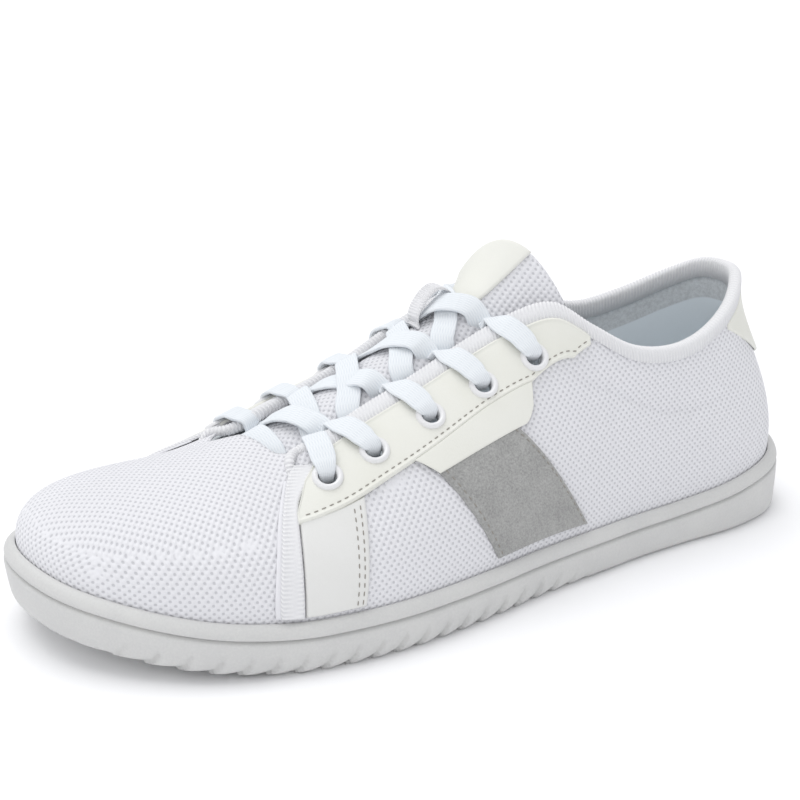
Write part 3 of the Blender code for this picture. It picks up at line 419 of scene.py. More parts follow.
def rounded(away, edge):
    """Share of a sheet's thickness at a distance from its border: a quarter circle that starts
    at EDGE_SHARE and reaches 1 at the distance edge."""
    near = np.clip(away / edge, 0.0, 1.0)
    return EDGE_SHARE + (1.0 - EDGE_SHARE) * np.sqrt(1.0 - (1.0 - near) ** 2)


def layer(name, station, climb, finish, slot, nodes=(), under=GAP, thickness=LEATHER,
          edge=0.0011, keep=None, rim=0.0):
    """Overlay on the skin with a rounded edge, from under to under plus thickness; rim raises
    a bead along its border, a bell of the distance from RIM_INSET."""
    station, climb = np.broadcast_arrays(station, climb)
    flat = skin(station, climb)
    away = border_distance(flat)
    height = under + thickness * rounded(away, edge)
    height = height + rim * np.exp(-((away - RIM_INSET) / RIM_WIDTH) ** 2)
    normal = skin_normal(station, climb)
    outer = flat + normal * height[..., None]
    inner = flat + normal * under
    return slab(name, outer, inner, finish, nodes, keep=keep)


def tube(name, ring, uv, finish, nodes=()):
    """Closed piece from rings of points, (stations, around, 3), its ends fanned shut round a
    point in the middle of each."""
    rows, columns = ring.shape[:2]
    total = rows * columns
    points = np.concatenate([ring.reshape(-1, 3), ring[[0, -1]].mean(1)])
    here = np.arange(columns)
    there = (here + 1) % columns
    middle = np.full(columns, total)
    head = np.stack([there, here, middle, middle], -1)
    tail = np.stack([total - columns + here, total - columns + there, middle + 1, middle + 1], -1)
    faces = np.concatenate([grid_faces(rows, columns, wrap_columns=True), head, tail])
    uv = uv.reshape(-1, 2)
    return add_mesh(name, points, faces, finish, nodes, np.concatenate([uv, uv[[0, -1]]]))


def ring_uv(run, around):
    """UV of a tube: the length run along it and the place around it, in metres."""
    return np.stack(np.broadcast_arrays(run[:, None], around), -1)


def close_outline(points, faces, ring_start, count, strips, height):
    """Closes a ring of the foot's outline, whose first point is at the heel, by strips from
    side to side; height gives their z at x and y.  The ring at 0 closes the other way round."""
    half = count // 2
    ring = points[0][ring_start:ring_start + count]
    left, right = ring[1:half], ring[:half:-1]
    share = between(0.0, 1.0, strips + 1)[1:-1]
    inside = left[:, None] + (right - left)[:, None] * share[None, :, None]
    inside[..., 2] = height(inside[..., 0], inside[..., 1])
    first = sum(len(block) for block in points)
    index = first + np.arange(inside[..., 0].size).reshape(inside.shape[:2])
    index = np.column_stack([ring_start + np.arange(1, half), index,
                             ring_start + np.arange(count - 1, half, -1)])
    corners = [index[:-1, :-1], index[1:, :-1], index[1:, 1:], index[:-1, 1:]]
    block = [np.stack(corners, -1).reshape(-1, 4)]
    for row, tip in ((index[0], ring_start), (index[-1][::-1], ring_start + half)):
        block.append(np.stack([np.full(strips, tip), row[:-1], row[1:], row[1:]], -1))
    if ring_start == 0:
        block = [block[0][:, ::-1]] + [fan[:, [0, 2, 1, 1]] for fan in block[1:]]
    faces += block
    points.append(inside.reshape(-1, 3))


def catmull(places, steps):
    """Catmull-Rom through rows of values, with steps to each span."""
    places = np.asarray(places, float)
    padded = np.vstack([2 * places[0] - places[1], places, 2 * places[-1] - places[-2]])
    at = between(0.0, len(places) - 1.0, (len(places) - 1) * steps + 1)
    base = np.clip(at.astype(int), 0, len(places) - 2)
    t = (at - base)[:, None]
    return span(*(padded[base + k] for k in range(4)), t)


# Materials

def node(tree, kind, inputs=None, **settings):
    """A shader node; inputs maps a socket's name or number to a value or to another socket."""
    made = tree.nodes.new(kind)
    for key, value in settings.items():
        setattr(made, key, value)
    for key, value in (inputs or {}).items():
        if isinstance(value, bpy.types.NodeSocket):
            tree.links.new(value, made.inputs[key])
        else:
            made.inputs[key].default_value = value
    return made


def maths(tree, operation, *values):
    """Result of one operation on numbers or sockets."""
    return node(tree, "ShaderNodeMath", dict(enumerate(values)), operation=operation).outputs[0]


def blend_colours(tree, share, first, second):
    """Colour from first at share 0 to second at share 1."""
    made = node(tree, "ShaderNodeMix", data_type="RGBA")
    for socket, value in ((made.inputs[0], share), (made.inputs[6], first), (made.inputs[7], second)):
        if isinstance(value, bpy.types.NodeSocket):
            tree.links.new(value, socket)
        else:
            socket.default_value = (*value, 1.0) if isinstance(value, tuple) else value
    return made.outputs[2]


def ramp(tree, value, low, high, first=0.0, last=1.0):
    """Straight line from first at low to last at high, level beyond them."""
    ends = {0: value, 1: low, 2: high, 3: first, 4: last}
    return node(tree, "ShaderNodeMapRange", ends, clamp=True).outputs[0]


def weighted(tree, first, share, second, rest):
    """Sum of two values, each times its own share."""
    return maths(tree, "ADD", maths(tree, "MULTIPLY", first, share), maths(tree, "MULTIPLY", second, rest))


def paint(tree, shader, share, first, second):
    """Blends two colours into the shader's base colour."""
    tree.links.new(blend_colours(tree, share, first, second), shader.inputs["Base Color"])


def dimmed(colour, share):
    """A colour times a share."""
    return tuple(share * part for part in colour)


def new_finish(name, rough, sheen=0.0, specular=0.5, coat=0.0):
    """An empty finish: its tree, its shader and its Object coordinates."""
    finish = bpy.data.materials.new(name)
    finish.use_nodes = True
    tree = finish.node_tree
    shader = tree.nodes["Principled BSDF"]
    shader.inputs["Roughness"].default_value = rough
    shader.inputs["Sheen Weight"].default_value = sheen
    shader.inputs["Specular IOR Level"].default_value = specular
    shader.inputs["Coat Weight"].default_value = coat
    return finish, tree, shader, tree.nodes.new("ShaderNodeTexCoord")


def noise(tree, place, scale, detail=3.0, rough=0.5):
    """Fractal noise; scale counts its cells to a metre."""
    settings = {"Vector": place, "Scale": scale, "Detail": detail, "Roughness": rough}
    return node(tree, "ShaderNodeTexNoise", settings).outputs["Fac"]


def relief(tree, shader, height, strength, distance):
    """Bump from a height; distance is what a height of 1 stands for, in metres."""
    bump = node(tree, "ShaderNodeBump", {"Height": height, "Strength": strength, "Distance": distance})
    tree.links.new(bump.outputs[0], shader.inputs["Normal"])


def lattice(tree, u, v, pitch_u, pitch_v):
    """Product of two cosines: 1 at the holes of a staggered lattice, -1 between them."""
    first = maths(tree, "COSINE", maths(tree, "MULTIPLY", u, 2 * math.pi / pitch_u))
    second = maths(tree, "COSINE", maths(tree, "MULTIPLY", v, 2 * math.pi / pitch_v))
    return maths(tree, "MULTIPLY", first, second)


def knit_finish(name, colour, hole_shade_colour):
    """Open knit: a lattice on each of the three planes, weighted by a power of how much the place faces it.
    Its holes are painted a darker grey: painted shade inside the holes."""
    finish, tree, shader, coords = new_finish(name, 0.9, sheen=0.15, specular=0.2)
    place = coords.outputs["Object"]
    facing = node(tree, "ShaderNodeSeparateXYZ", {0: coords.outputs["Normal"]})
    straight = node(tree, "ShaderNodeSeparateXYZ", {0: place})
    wobble = maths(tree, "MULTIPLY", maths(tree, "SUBTRACT", noise(tree, place, 90.0), 0.5), KNIT_WOBBLE)
    x, y, z = (maths(tree, "ADD", value, wobble) for value in straight.outputs)
    weights = [maths(tree, "POWER", maths(tree, "ABSOLUTE", value), KNIT_FACING)
               for value in facing.outputs]
    total = maths(tree, "ADD", maths(tree, "ADD", weights[0], weights[1]), weights[2])
    parts = (lattice(tree, y, z, KNIT_PITCH, KNIT_ROWS), lattice(tree, x, z, KNIT_PITCH, KNIT_ROWS),
             lattice(tree, x, y, KNIT_PITCH, KNIT_ROWS))
    mixed = 0.0
    for weight, part in zip(weights, parts):
        mixed = maths(tree, "MULTIPLY_ADD", weight, part, mixed)
    weave = maths(tree, "DIVIDE", mixed, total)
    cloudy = ramp(tree, noise(tree, place, 30.0), 0.3, 0.7)
    base = blend_colours(tree, cloudy, colour, dimmed(colour, 0.975))
    # Painted shade: the lattice's holes take the darker grey, the shade inside the knit's holes.
    paint(tree, shader, ramp(tree, weave, 0.25, 0.75), base, hole_shade_colour)
    fibre = noise(tree, place, 2600.0, 2.0)
    relief(tree, shader, weighted(tree, fibre, 0.25, weave, -0.8), 0.6, 0.0005)
    return finish


def leather_finish(name, colour, shade, rough, grain, depth):
    """Grained leather: small cells in relief, with slow changes of tone."""
    finish, tree, shader, coords = new_finish(name, rough, specular=0.35)
    place = coords.outputs["Object"]
    cells = node(tree, "ShaderNodeTexVoronoi", {"Vector": place, "Scale": grain}).outputs["Distance"]
    fine = noise(tree, place, grain * 1.7, 4.0)
    height = maths(tree, "ADD", cells, maths(tree, "MULTIPLY", fine, 0.5))
    paint(tree, shader, ramp(tree, noise(tree, place, 45.0, 4.0), 0.35, 0.65), colour, shade)
    tree.links.new(ramp(tree, fine, 0.3, 0.7, rough - 0.07, rough + 0.07), shader.inputs["Roughness"])
    relief(tree, shader, height, depth, 0.0002)
    return finish


def suede_finish(name, colour, light):
    """Napped leather: fibres lie in patches that are lighter or darker."""
    finish, tree, shader, coords = new_finish(name, 0.95, sheen=0.4, specular=0.15)
    place = coords.outputs["Object"]
    nap = noise(tree, place, 1500.0, 3.0, 0.7)
    patches = noise(tree, place, 140.0, 3.0)
    tone = weighted(tree, nap, 0.75, patches, 0.25)
    paint(tree, shader, ramp(tree, tone, 0.35, 0.65), colour, light)
    relief(tree, shader, nap, 0.5, 0.0003)
    return finish


def woven_finish(name, colour, shade, pitch_u, pitch_v, depth):
    """Narrow woven goods on their own UV: u has the ribs' pitch and v the threads'. The colour goes from
    shade on the weave's low parts to colour on its raised parts: painted shade in the hollows, mixed with a
    random fine tone.
    """
    finish, tree, shader, coords = new_finish(name, 0.85, sheen=0.2, specular=0.2)
    along_it, across_it, _ = node(tree, "ShaderNodeSeparateXYZ", {0: coords.outputs["UV"]}).outputs
    weave = lattice(tree, along_it, across_it, pitch_u, pitch_v)
    height = weighted(tree, weave, 0.5, noise(tree, coords.outputs["Object"], 2200.0, 2.0), 0.5)
    # Painted shade: the low parts of the weave's relief take the darker shade colour.
    paint(tree, shader, ramp(tree, height, -0.2, 0.7), shade, colour)
    relief(tree, shader, height, depth, 0.0003)
    return finish


def rubber_finish(name, colour, shade):
    """Moulded rubber with a fine stipple."""
    finish, tree, shader, coords = new_finish(name, 0.52, specular=0.4)
    place = coords.outputs["Object"]
    stipple = noise(tree, place, 1400.0, 2.0, 0.6)
    share = weighted(tree, stipple, 0.5, noise(tree, place, 60.0, 3.0), 0.5)
    paint(tree, shader, ramp(tree, share, 0.4, 0.6), colour, shade)
    relief(tree, shader, stipple, 0.30, 0.0002)
    return finish


def lining_finish(name, colour, band, band_depth):
    """Smooth brushed lining; near the collar's edge a heathered band, by the attribute below,
    which holds each point's distance from the edge."""
    finish, tree, shader, coords = new_finish(name, 0.9, sheen=0.3, specular=0.15)
    place = coords.outputs["Object"]
    below = node(tree, "ShaderNodeAttribute", attribute_name="below").outputs["Fac"]
    fleck = noise(tree, place, 700.0, 3.0, 0.7)
    heather = blend_colours(tree, ramp(tree, fleck, 0.35, 0.65), band, dimmed(band, 0.80))
    paint(tree, shader, ramp(tree, below, band_depth + 0.0006, band_depth), colour, heather)
    relief(tree, shader, fleck, 0.25, 0.0003)
    return finish


def ring_finish(name, colour):
    """Painted eyelet, slightly glossy."""
    finish, tree, shader, coords = new_finish(name, 0.32, specular=0.5, coat=0.2)
    tone = noise(tree, coords.outputs["Object"], 300.0)
    paint(tree, shader, tone, colour, dimmed(colour, 0.96))
    relief(tree, shader, tone, 0.05, 0.0002)
    return finish


def stitch_shade_finish(name, colour):
    """Stitch thread painted dark, as painted shade along the stitch lines, with its twist."""
    finish, tree, shader, coords = new_finish(name, 0.7, specular=0.3)
    twist = noise(tree, coords.outputs["Object"], 2500.0)
    paint(tree, shader, twist, colour, dimmed(colour, 0.85))
    relief(tree, shader, twist, 0.3, 0.0002)
    return finish


def floor_finish(name, colour):
    """Matt studio floor, almost even."""
    finish, tree, shader, coords = new_finish(name, 0.9, specular=0.1)
    paint(tree, shader, noise(tree, coords.outputs["Object"], 3.0), colour, dimmed(colour, 0.995))
    return finish


KNIT_PITCH = 0.0024         # between holes along a row
KNIT_ROWS = 0.0025          # between two rows of the same phase
KNIT_WOBBLE = 0.0006
KNIT_FACING = 22.0          # power that keeps each place to the plane it faces
HEATHER_DEPTH = 0.013       # grey band of the lining below the collar's edge

# Knit: the second colour is painted shade for the inside of its holes.
KNIT = knit_finish("knit_white", (0.81, 0.81, 0.84), (0.58, 0.58, 0.61))
CREAM = leather_finish("leather_cream", (0.79, 0.79, 0.74), (0.76, 0.76, 0.70), 0.5, 1500.0, 0.16)
OFF_WHITE = leather_finish("leather_off_white", (0.76, 0.76, 0.745), (0.73, 0.73, 0.71), 0.5, 1500.0, 0.16)
GREY = suede_finish("suede_grey", (0.27, 0.27, 0.265), (0.44, 0.44, 0.43))
# Tape and lace: the second colour is painted shade for the hollows of the weave.
TAPE = woven_finish("ribbed_tape", (0.84, 0.84, 0.85), (0.70, 0.70, 0.72), 0.0013, 0.0200, 0.6)
LACE = woven_finish("lace_white", (0.82, 0.845, 0.87), (0.72, 0.76, 0.80), 0.0060, 0.0009, 0.30)
RUBBER = rubber_finish("rubber_pale", (0.59, 0.59, 0.585), (0.63, 0.63, 0.62))
LINING = lining_finish("lining_blue", (0.86, 0.92, 0.96), (0.74, 0.77, 0.79), HEATHER_DEPTH)
RING = ring_finish("eyelet_white", (0.80, 0.80, 0.81))
FOLD = leather_finish("fold_white", (0.78, 0.78, 0.81), (0.75, 0.75, 0.78), 0.85, 2500.0, 0.10)
# Stitches: the thread's shape is modelled, but its dark colour is painted shade along the stitch lines.
STITCH_SHADE_FINISH = stitch_shade_finish("thread_shadow", (0.33, 0.31, 0.28))
FLOOR = floor_finish("studio_white", (0.97, 0.97, 0.98))


# Outsole

TREAD_WAVE = 0.0030         # grooves: how far they swing, and how often across the ball
TREAD_WAVES = 4.0
TREAD_PITCH = 0.0125
TREAD_DEPTH = 0.0018
TREAD_WIDTH = 0.0022
TREAD_FIRST, TREAD_LAST = 0.46 * LENGTH - HEEL_SEAT, 0.93 * LENGTH - HEEL_SEAT
HEEL_PAD = (-0.034, 0.045)  # the heel's grooves lie between these places on x
HEEL_BARE = (0.004, 0.012)  # and leave bare what is this near to this place
BEAD_TALL = 0.0038          # rounded bead at the lip, and the groove under it
BEAD_TURN = 0.93 * math.pi
GROOVE_TOP, GROOVE_BASE = 0.0043, 0.0047
WALL_TOP = 0.0060           # side wall from here down to its rounded foot
FOOT_TALL, FOOT_DEEP = 0.0030, 0.0034
TOE_TUCK, HEEL_TUCK = 0.0055, 0.0025
SIPE_PITCH = 0.0080         # cuts in the side wall
SIPE_TALL, SIPE_DEPTH, SIPE_LIFT = 0.0075, 0.0015, 0.0013
SIPE_LEAN, SIPE_CURVE = 0.80, 30.0
SIPE_REAR, SIPE_FRONT = 0.060, 0.240


def tread_cut(x, y):
    """Depth of the wavy grooves: a smooth pulse of the distance to the nearest of them."""
    along_wave = x - TREAD_WAVE * np.sin(y / BALL_WIDTH * TREAD_WAVES * 2 * math.pi)
    from_groove = np.abs((along_wave - TREAD_FIRST + 0.5 * TREAD_PITCH) % TREAD_PITCH - 0.5 * TREAD_PITCH)
    pulse = np.clip((0.5 * TREAD_WIDTH + 0.0005 - from_groove) / 0.0007, 0.0, 1.0)
    inside = (along_wave > TREAD_FIRST - 0.5 * TREAD_PITCH) & (along_wave < TREAD_LAST)
    heel = (along_wave > HEEL_PAD[0]) & (along_wave < HEEL_PAD[1])
    heel &= np.abs(along_wave - HEEL_BARE[0]) > HEEL_BARE[1]
    return TREAD_DEPTH * pulse * (inside | heel)


def side_sipe(x, height):
    """Share of depth of the curved cuts in the side wall: a saw of the length along the sole,
    whose teeth lean back as they climb."""
    line = x + SIPE_LEAN * height - SIPE_CURVE * height ** 2
    tooth = ((line - TREAD_FIRST) / SIPE_PITCH) % 1.0
    inside = np.clip((x - SIPE_REAR) / 0.03, 0.0, 1.0) * np.clip((SIPE_FRONT - x) / 0.02, 0.0, 1.0)
    return (1.0 - tooth) ** 2.5 * inside


def tread_floor(x, y):
    """Underside of the sole, with its grooves."""
    return tread_height(x, y) + tread_cut(x, y)


def make_outsole():
    """Rings of the foot's outline from the cup floor over lip, bead, groove and side wall to
    the tread, each moved out by its offset; strips from side to side close both ends."""
    count, strips = 900, 44
    station = np.arange(count) * STATIONS / count
    foot, out = outline(station)
    x = foot[:, 0]
    lip = lip_height(x)
    base = tread_height(x, foot[:, 1])
    tuck = TOE_TUCK * past(x, 0.80 * LENGTH - HEEL_SEAT, TOE_X) ** 2
    tuck = tuck + HEEL_TUCK * past(x, 0.10 * LENGTH - HEEL_SEAT, HEEL_X) ** 2
    profile = [(GAP, floor_height(x)), (GAP, lip - 0.0010)]
    for t in between(0.0, 1.0, 13):
        turn = BEAD_TURN * t
        profile.append((GAP + 0.94 * RIM_WALL * 0.5 * (1 - math.cos(turn)) * (0.98 if t < 1 else 0.9),
                        lip - 0.0002 - BEAD_TALL * (t ** 2.6) + 0.0005 * math.sin(turn)))
    for share, drop in ((0.80, 0.0041), (0.50, GROOVE_TOP), (0.52, GROOVE_BASE), (0.90, 0.0050),
                        (1.00, WALL_TOP)):
        profile.append((share * RIM_WALL, lip - drop))
    wall_start = len(profile) - 3
    for t in between(0.0, 1.0, 8)[1:]:
        profile.append((RIM_WALL * (1.0 + 0.03 * math.sin(math.pi * t)) - 0.25 * tuck * t,
                        (lip - WALL_TOP) * (1 - t) + (base + FOOT_TALL) * t))
    for t in between(0.0, 1.0, 7)[1:]:
        turn = 0.5 * math.pi * t
        profile.append((RIM_WALL - 0.25 * tuck - (FOOT_DEEP + 0.75 * tuck) * (1 - math.cos(turn)),
                        base + FOOT_TALL * (1 - math.sin(turn))))
    rings = []
    for offset, height in profile:
        offset = np.broadcast_to(offset, x.shape)
        rings.append(np.column_stack([foot + out * offset[:, None], np.broadcast_to(height, x.shape)]))
    rings = np.array(rings)
    low = np.clip((base + SIPE_TALL - rings[..., 2]) / SIPE_TALL, 0.0, 1.0)
    low *= (np.arange(len(rings)) >= wall_start)[:, None]
    cuts = side_sipe(rings[..., 0], rings[..., 2] - base)
    rings[..., :2] -= out[None] * (SIPE_DEPTH * cuts * np.sqrt(low))[..., None]
    rings[..., 2] += SIPE_LIFT * cuts * low ** 4
    rings[-1, :, 2] = tread_floor(rings[-1, :, 0], rings[-1, :, 1])
    points, faces = [rings.reshape(-1, 3)], [grid_faces(len(rings), count, wrap_columns=True)]
    close_outline(points, faces, 0, count, strips, lambda x, y: floor_height(x))
    close_outline(points, faces, (len(rings) - 1) * count, count, strips, tread_floor)
    add_mesh("outsole_shell", np.concatenate(points), np.concatenate(faces), RUBBER,
             ["outsole"])


# Upper and lining

SEAM = ((2.6, 0.50), (3.1, 0.51), (3.65, 0.52), (4.4, 0.56), (5.15, 0.65), (5.9, 0.67), (6.9, 0.69))
SEAM_TROUGH, COLLAR_SWELL = 0.0006, 0.0007
KNIT_WALL = 0.0010          # the rest of the wall is lining
EYELET_CLEARANCE = 0.0037   # holes for the eyelets, under their rings


def seam_depth(station, climb):
    """Soft trough along the padded collar's seam: a bell of the distance, in share of climb."""
    trough = np.zeros(np.broadcast(station, climb).shape)
    for side in (1, -1):
        place = station if side > 0 else (STATIONS - station) % STATIONS
        level = np.interp(place, *zip(*SEAM))
        inside = np.clip(np.minimum(place - SEAM[0][0], SEAM[-1][0] - place) / 0.5, 0.0, 1.0)
        trough = trough + inside * np.exp(-((climb - level) / 0.018) ** 2)
    return trough


def knit_relief(station, climb):
    """Height of the knit over the skin: the padded collar swells above its seam."""
    station, climb = np.broadcast_arrays(station, climb)
    trough = seam_depth(station, climb)
    around = np.minimum(station, STATIONS - station)
    collar = np.clip((SEAM[-1][0] - around) / 2.0, 0.0, 1.0) * np.exp(-((climb - 0.80) / 0.13) ** 2)
    return COLLAR_SWELL * collar - SEAM_TROUGH * trough


def eyelet_frames():
    """Place and basis of each eyelet, the basis' third axis being the skin's normal."""
    sites = []
    for row, (station, climb) in enumerate(zip(EYELET_STATIONS, EYELET_HEIGHT)):
        for side, place in (("lateral", station), ("medial", STATIONS - station)):
            centre, normal = skin_point(place, climb), skin_normal(place, climb)
            across = unit(np.cross(normal, (0.0, 0.0, 1.0)))
            basis = np.column_stack([across, np.cross(normal, across), normal])
            sites.append(("%s_%d" % (side, row + 1), centre, basis))
    return sites


EYELETS = eyelet_frames()


def clear_of_eyelets(centres):
    """True for faces that no eyelet's hole takes."""
    clear = np.ones(len(centres), bool)
    for _, place, _ in EYELETS:
        clear &= np.linalg.norm(centres - place, axis=1) > EYELET_CLEARANCE
    return clear


def make_upper():
    """Outer knit and inner lining, two closed shells side by side."""
    columns = 396
    station = (np.arange(columns) * STATIONS / columns)[:, None]
    climb = np.concatenate([between(-1.0, 0.0, 5)[:-1], between(0.0, 1.0, 49)])[None, :]
    flat = skin_point(station + 0 * climb, climb + 0 * station)
    normal = skin_normal(station, np.maximum(climb, 0.0))
    lift = knit_relief(station, climb) * (climb > 0)
    at = lambda height: flat + normal * np.broadcast_to(height, lift.shape)[..., None]
    slab("upper_knit", at(lift), at(-KNIT_WALL), KNIT, ["upper"], wrap=True,
         keep=clear_of_eyelets)
    below = lengths(flat, 1)
    below = below[:, -1:] - below
    slab("upper_lining", at(-UPPER_WALL), at(-KNIT_WALL - 0.00005), LINING, wrap=True,
         keep=clear_of_eyelets, kinds={"below": below})


def make_insole():
    """Sock on the cup floor: the outline moved in by an inset at each height, so that its edge
    is rounded."""
    count, strips = 240, 30
    station = np.arange(count) * STATIONS / count
    rings = []
    for inset, height in ((0.0, 0.0), (0.0, 0.0018), (0.0004, 0.0026), (0.0012, INSOLE_THICKNESS)):
        place, _ = outline(station, -(UPPER_WALL + 2 * GAP + inset) * np.ones((count, 1)))
        rings.append(np.column_stack([place, floor_height(place[:, 0]) + GAP + height]))
    points = [np.array(rings).reshape(-1, 3)]
    faces = [grid_faces(len(rings), count, wrap_columns=True)]
    top = lambda x, y: floor_height(x) + GAP + INSOLE_THICKNESS
    close_outline(points, faces, 0, count, strips, lambda x, y: floor_height(x) + GAP)
    close_outline(points, faces, (len(rings) - 1) * count, count, strips, top)
    add_mesh("insole_sock", np.concatenate(points), np.concatenate(faces), LINING,
             ["insole"])


# Tongue

def make_tongue():
    """Padded knit tongue, its leather tip and the webbing loop that holds the lace."""
    length, across = between(0.0, 1.0, 90)[:, None], between(-1.0, 1.0, 60)[None, :]
    edge = np.clip((1.0 - np.abs(across)) / 0.12, 0.0, 1.0) * np.clip((1.0 - length) / 0.04, 0.0, 1.0)
    puff = np.sqrt(1.0 - (1.0 - edge) ** 2)
    top = tongue_skin(length, across, -0.5 * TONGUE_THICKNESS * (1.0 - puff))
    bottom = tongue_skin(length, across, -TONGUE_THICKNESS + 0.5 * TONGUE_THICKNESS * (1.0 - puff) - 1e-5)
    slab("tongue_knit", top, bottom, KNIT, ["tongue"])
    make_tongue_patch()
    make_keeper()


PATCH_START = 0.786         # share of the tongue's length where its leather begins
PATCH_MEDIAL, PATCH_ACROSS = -0.80, 1.20    # its medial edge and its width, in half-widths


def make_tongue_patch():
    """Leather of the tip, from near the medial edge to just past the middle, with a rounded
    edge."""
    length = (PATCH_START + (1.0 - PATCH_START) * crowded(44))[:, None]
    across = (PATCH_MEDIAL + PATCH_ACROSS * crowded(56))[None, :]
    length, across = np.broadcast_arrays(length, across)
    seat = 0.3 * GAP
    away = border_distance(tongue_skin(length, across))
    slab("tongue_leather", tongue_skin(length, across, seat + LEATHER * rounded(away, 0.0011)),
         tongue_skin(length, across, seat), CREAM, ["tongue_patch"])


KEEPER_ROW = 3.20           # eyelet row that the keeper is level with
KEEPER_WIDTH = 0.0070
KEEPER_HEIGHT = 0.0060      # bow over the two strands of the last crossing
KEEPER_REACH = 0.070        # half its run, as a share of the tongue's length
KEEPER_ACROSS = -0.20       # its place towards the medial side, in half-widths
KEEPER_WALL = 0.0012
KEEPER_RIB, KEEPER_RIBS = 0.00018, 26


def eyelet_value(row, values):
    """Value at an eyelet row that need not be whole, 0 being the front row; before that row
    it runs on in a straight line."""
    return np.interp(row, range(EYELET_COUNT), values) + min(row, 0.0) * (values[1] - values[0])


def row_length(row):
    """Length along the tongue that is level with an eyelet row."""
    station = eyelet_value(row, EYELET_STATIONS)
    middle = 0.5 * (skin_point(station, 1.0)[0] + skin_point(STATIONS - station, 1.0)[0])
    shares = between(0.0, 1.0, 201)
    return np.interp(-middle, -tongue_point(shares, 0.0)[:, 0], shares)


def make_keeper():
    """Ribbed loop: its lift over the tongue is a flat-topped bow."""
    reach = between(-1.0, 1.0, 110)
    length = row_length(KEEPER_ROW) + KEEPER_REACH * reach
    bow = np.clip(1.0 - (np.abs(reach) / 0.88) ** 2.2, 0.0, 1.0) ** 0.45
    ribs = KEEPER_RIB * np.sin(reach * 2 * math.pi * (KEEPER_RIBS / 2))
    lift = GAP + (GAP + LEATHER) * np.clip(reach + 0.5, 0.0, 1.0) + KEEPER_HEIGHT * bow
    side = between(-0.5, 0.5, 12) * KEEPER_WIDTH
    round_off = np.sqrt(np.clip(1.0 - (np.abs(side) / (0.5 * KEEPER_WIDTH)) ** 6, 0.0, 1.0))
    low = tongue_skin(length, 0.0 * length + KEEPER_ACROSS, lift)
    high = tongue_skin(length, 0.0 * length + KEEPER_ACROSS, lift + KEEPER_WALL + ribs)
    shift = np.array([0.0, 1.0, 0.0]) * side[None, :, None]
    inner = low[:, None] + shift
    outer = inner + (high - low)[:, None] * (0.35 + 0.65 * round_off[None, :, None])
    slab("lace_keeper_loop", outer, inner, TAPE, ["lace_keeper"])


# Tapes

COLLAR_TAPE, THROAT_TAPE = 0.0036, 0.0058   # outer widths, which blend over these stations
TAPE_BLEND = (6.2, 1.6)
RIB_PITCH = 0.0013
RIB_HEIGHT = 0.00016
TAPE_WALL = 0.0009


def tape_width(station):
    """Outer width of the tape: narrow round the collar, wide along the throat."""
    around = np.minimum(station % STATIONS, STATIONS - station % STATIONS)
    wide = np.clip((around - TAPE_BLEND[0]) / TAPE_BLEND[1], 0.0, 1.0)
    return COLLAR_TAPE + (THROAT_TAPE - COLLAR_TAPE) * wide


def make_collar_tape():
    """Ribbed tape folded over the edge: a profile round the edge, carried along it, with the
    ribs as a sine of the length run."""
    first, last = THROAT_MEDIAL - STATIONS + 0.8, THROAT_LATERAL - 0.8
    station = between(first, last, 1500)
    edge = skin_point(station, np.ones(station.shape))
    run = lengths(edge[:, None], 0)[:, 0]
    coarse = between(first, last, 160)
    width = tape_width(coarse)
    low_out = np.interp(station, coarse, climb_below_edge(coarse, width))
    mid_out = np.interp(station, coarse, climb_below_edge(coarse, 0.5 * width))
    low_in = np.interp(station, coarse, climb_below_edge(coarse, BINDING_INSIDE))
    down = unit(skin_point(station, 0.985 + 0 * station) - edge)
    normal = skin_normal(station, np.ones(station.shape))
    rib = RIB_HEIGHT * np.sin(run * 2 * math.pi / RIB_PITCH)
    near, wall = GAP, TAPE_WALL
    out = near + wall + rib
    centre = edge - normal * (0.5 * UPPER_WALL)
    half = 0.5 * UPPER_WALL
    ring = [skin(station, low_out, near), skin(station, low_out - 0.004, near + 0.5 * wall),
            skin(station, low_out, out - 0.0002), skin(station, mid_out, out + 0.0001),
            skin(station, 0.5 * (mid_out + 1.0), out)]
    for turn in between(0.0, math.pi, 9):
        ring.append(centre + normal * ((half + out) * math.cos(turn))[..., None]
                    - down * ((half * 0.6 + out) * math.sin(turn))[..., None])
    inside = -UPPER_WALL - near
    ring += [skin(station, low_in, inside - wall), skin(station, low_in, inside)]
    for turn in between(math.pi, 0.0, 5):
        ring.append(centre + normal * ((half + near) * math.cos(turn))
                    - down * ((half * 0.6 + near) * math.sin(turn)))
    ring = np.stack(ring, 1)
    tube("collar_tape", ring, ring_uv(run, lengths(ring, 1)), TAPE, ["collar_binding"])


# Overlays

def both_sides(place, work):
    """Does the same work on the lateral side and, mirrored, on the medial side."""
    for side, turn in (("lateral", lambda s: s), ("medial", lambda s: STATIONS - s)):
        work("%s_%s" % (place, side), side, turn)


def under_tape(station):
    """Highest climb an overlay may reach below the collar tape."""
    coarse = between(station.min() - 1e-6, station.max() + 1e-6, 60)
    return np.interp(station, coarse, climb_below_edge(coarse, tape_width(coarse) - 0.0004))


OVERLAY_LOW = 0.045         # climb at which strap and panel start, under the rim's lip
EYESTAY_LOW = ((6.1, 0.90), (6.65, 0.75), (7.8, 0.65), (8.9, 0.64), (10.45, 0.60), (11.53, 0.575),
               (12.15, 0.565), (12.78, 0.55))
EYESTAY_CORNER = ((6.1, 0.93), (6.5, 0.97), (11.8, 0.97), (12.07, 0.885), (12.48, 0.785),
                  (12.70, 0.655), (12.78, 0.60))
EYESTAY_FRONT, EYESTAY_REAR = 12.78, 6.15
EYESTAY_WALL = LEATHER + 0.0003
STITCH_INSET = 0.0021       # eyestay's stitches above its lower edge


def eyestay_span(place, turn):
    """Lower and upper climb of the eyestay at a lateral station."""
    lower = np.interp(place, *zip(*EYESTAY_LOW))
    top = np.interp(place, *zip(*EYESTAY_CORNER))
    return lower, np.minimum(top, under_tape(turn(place)))


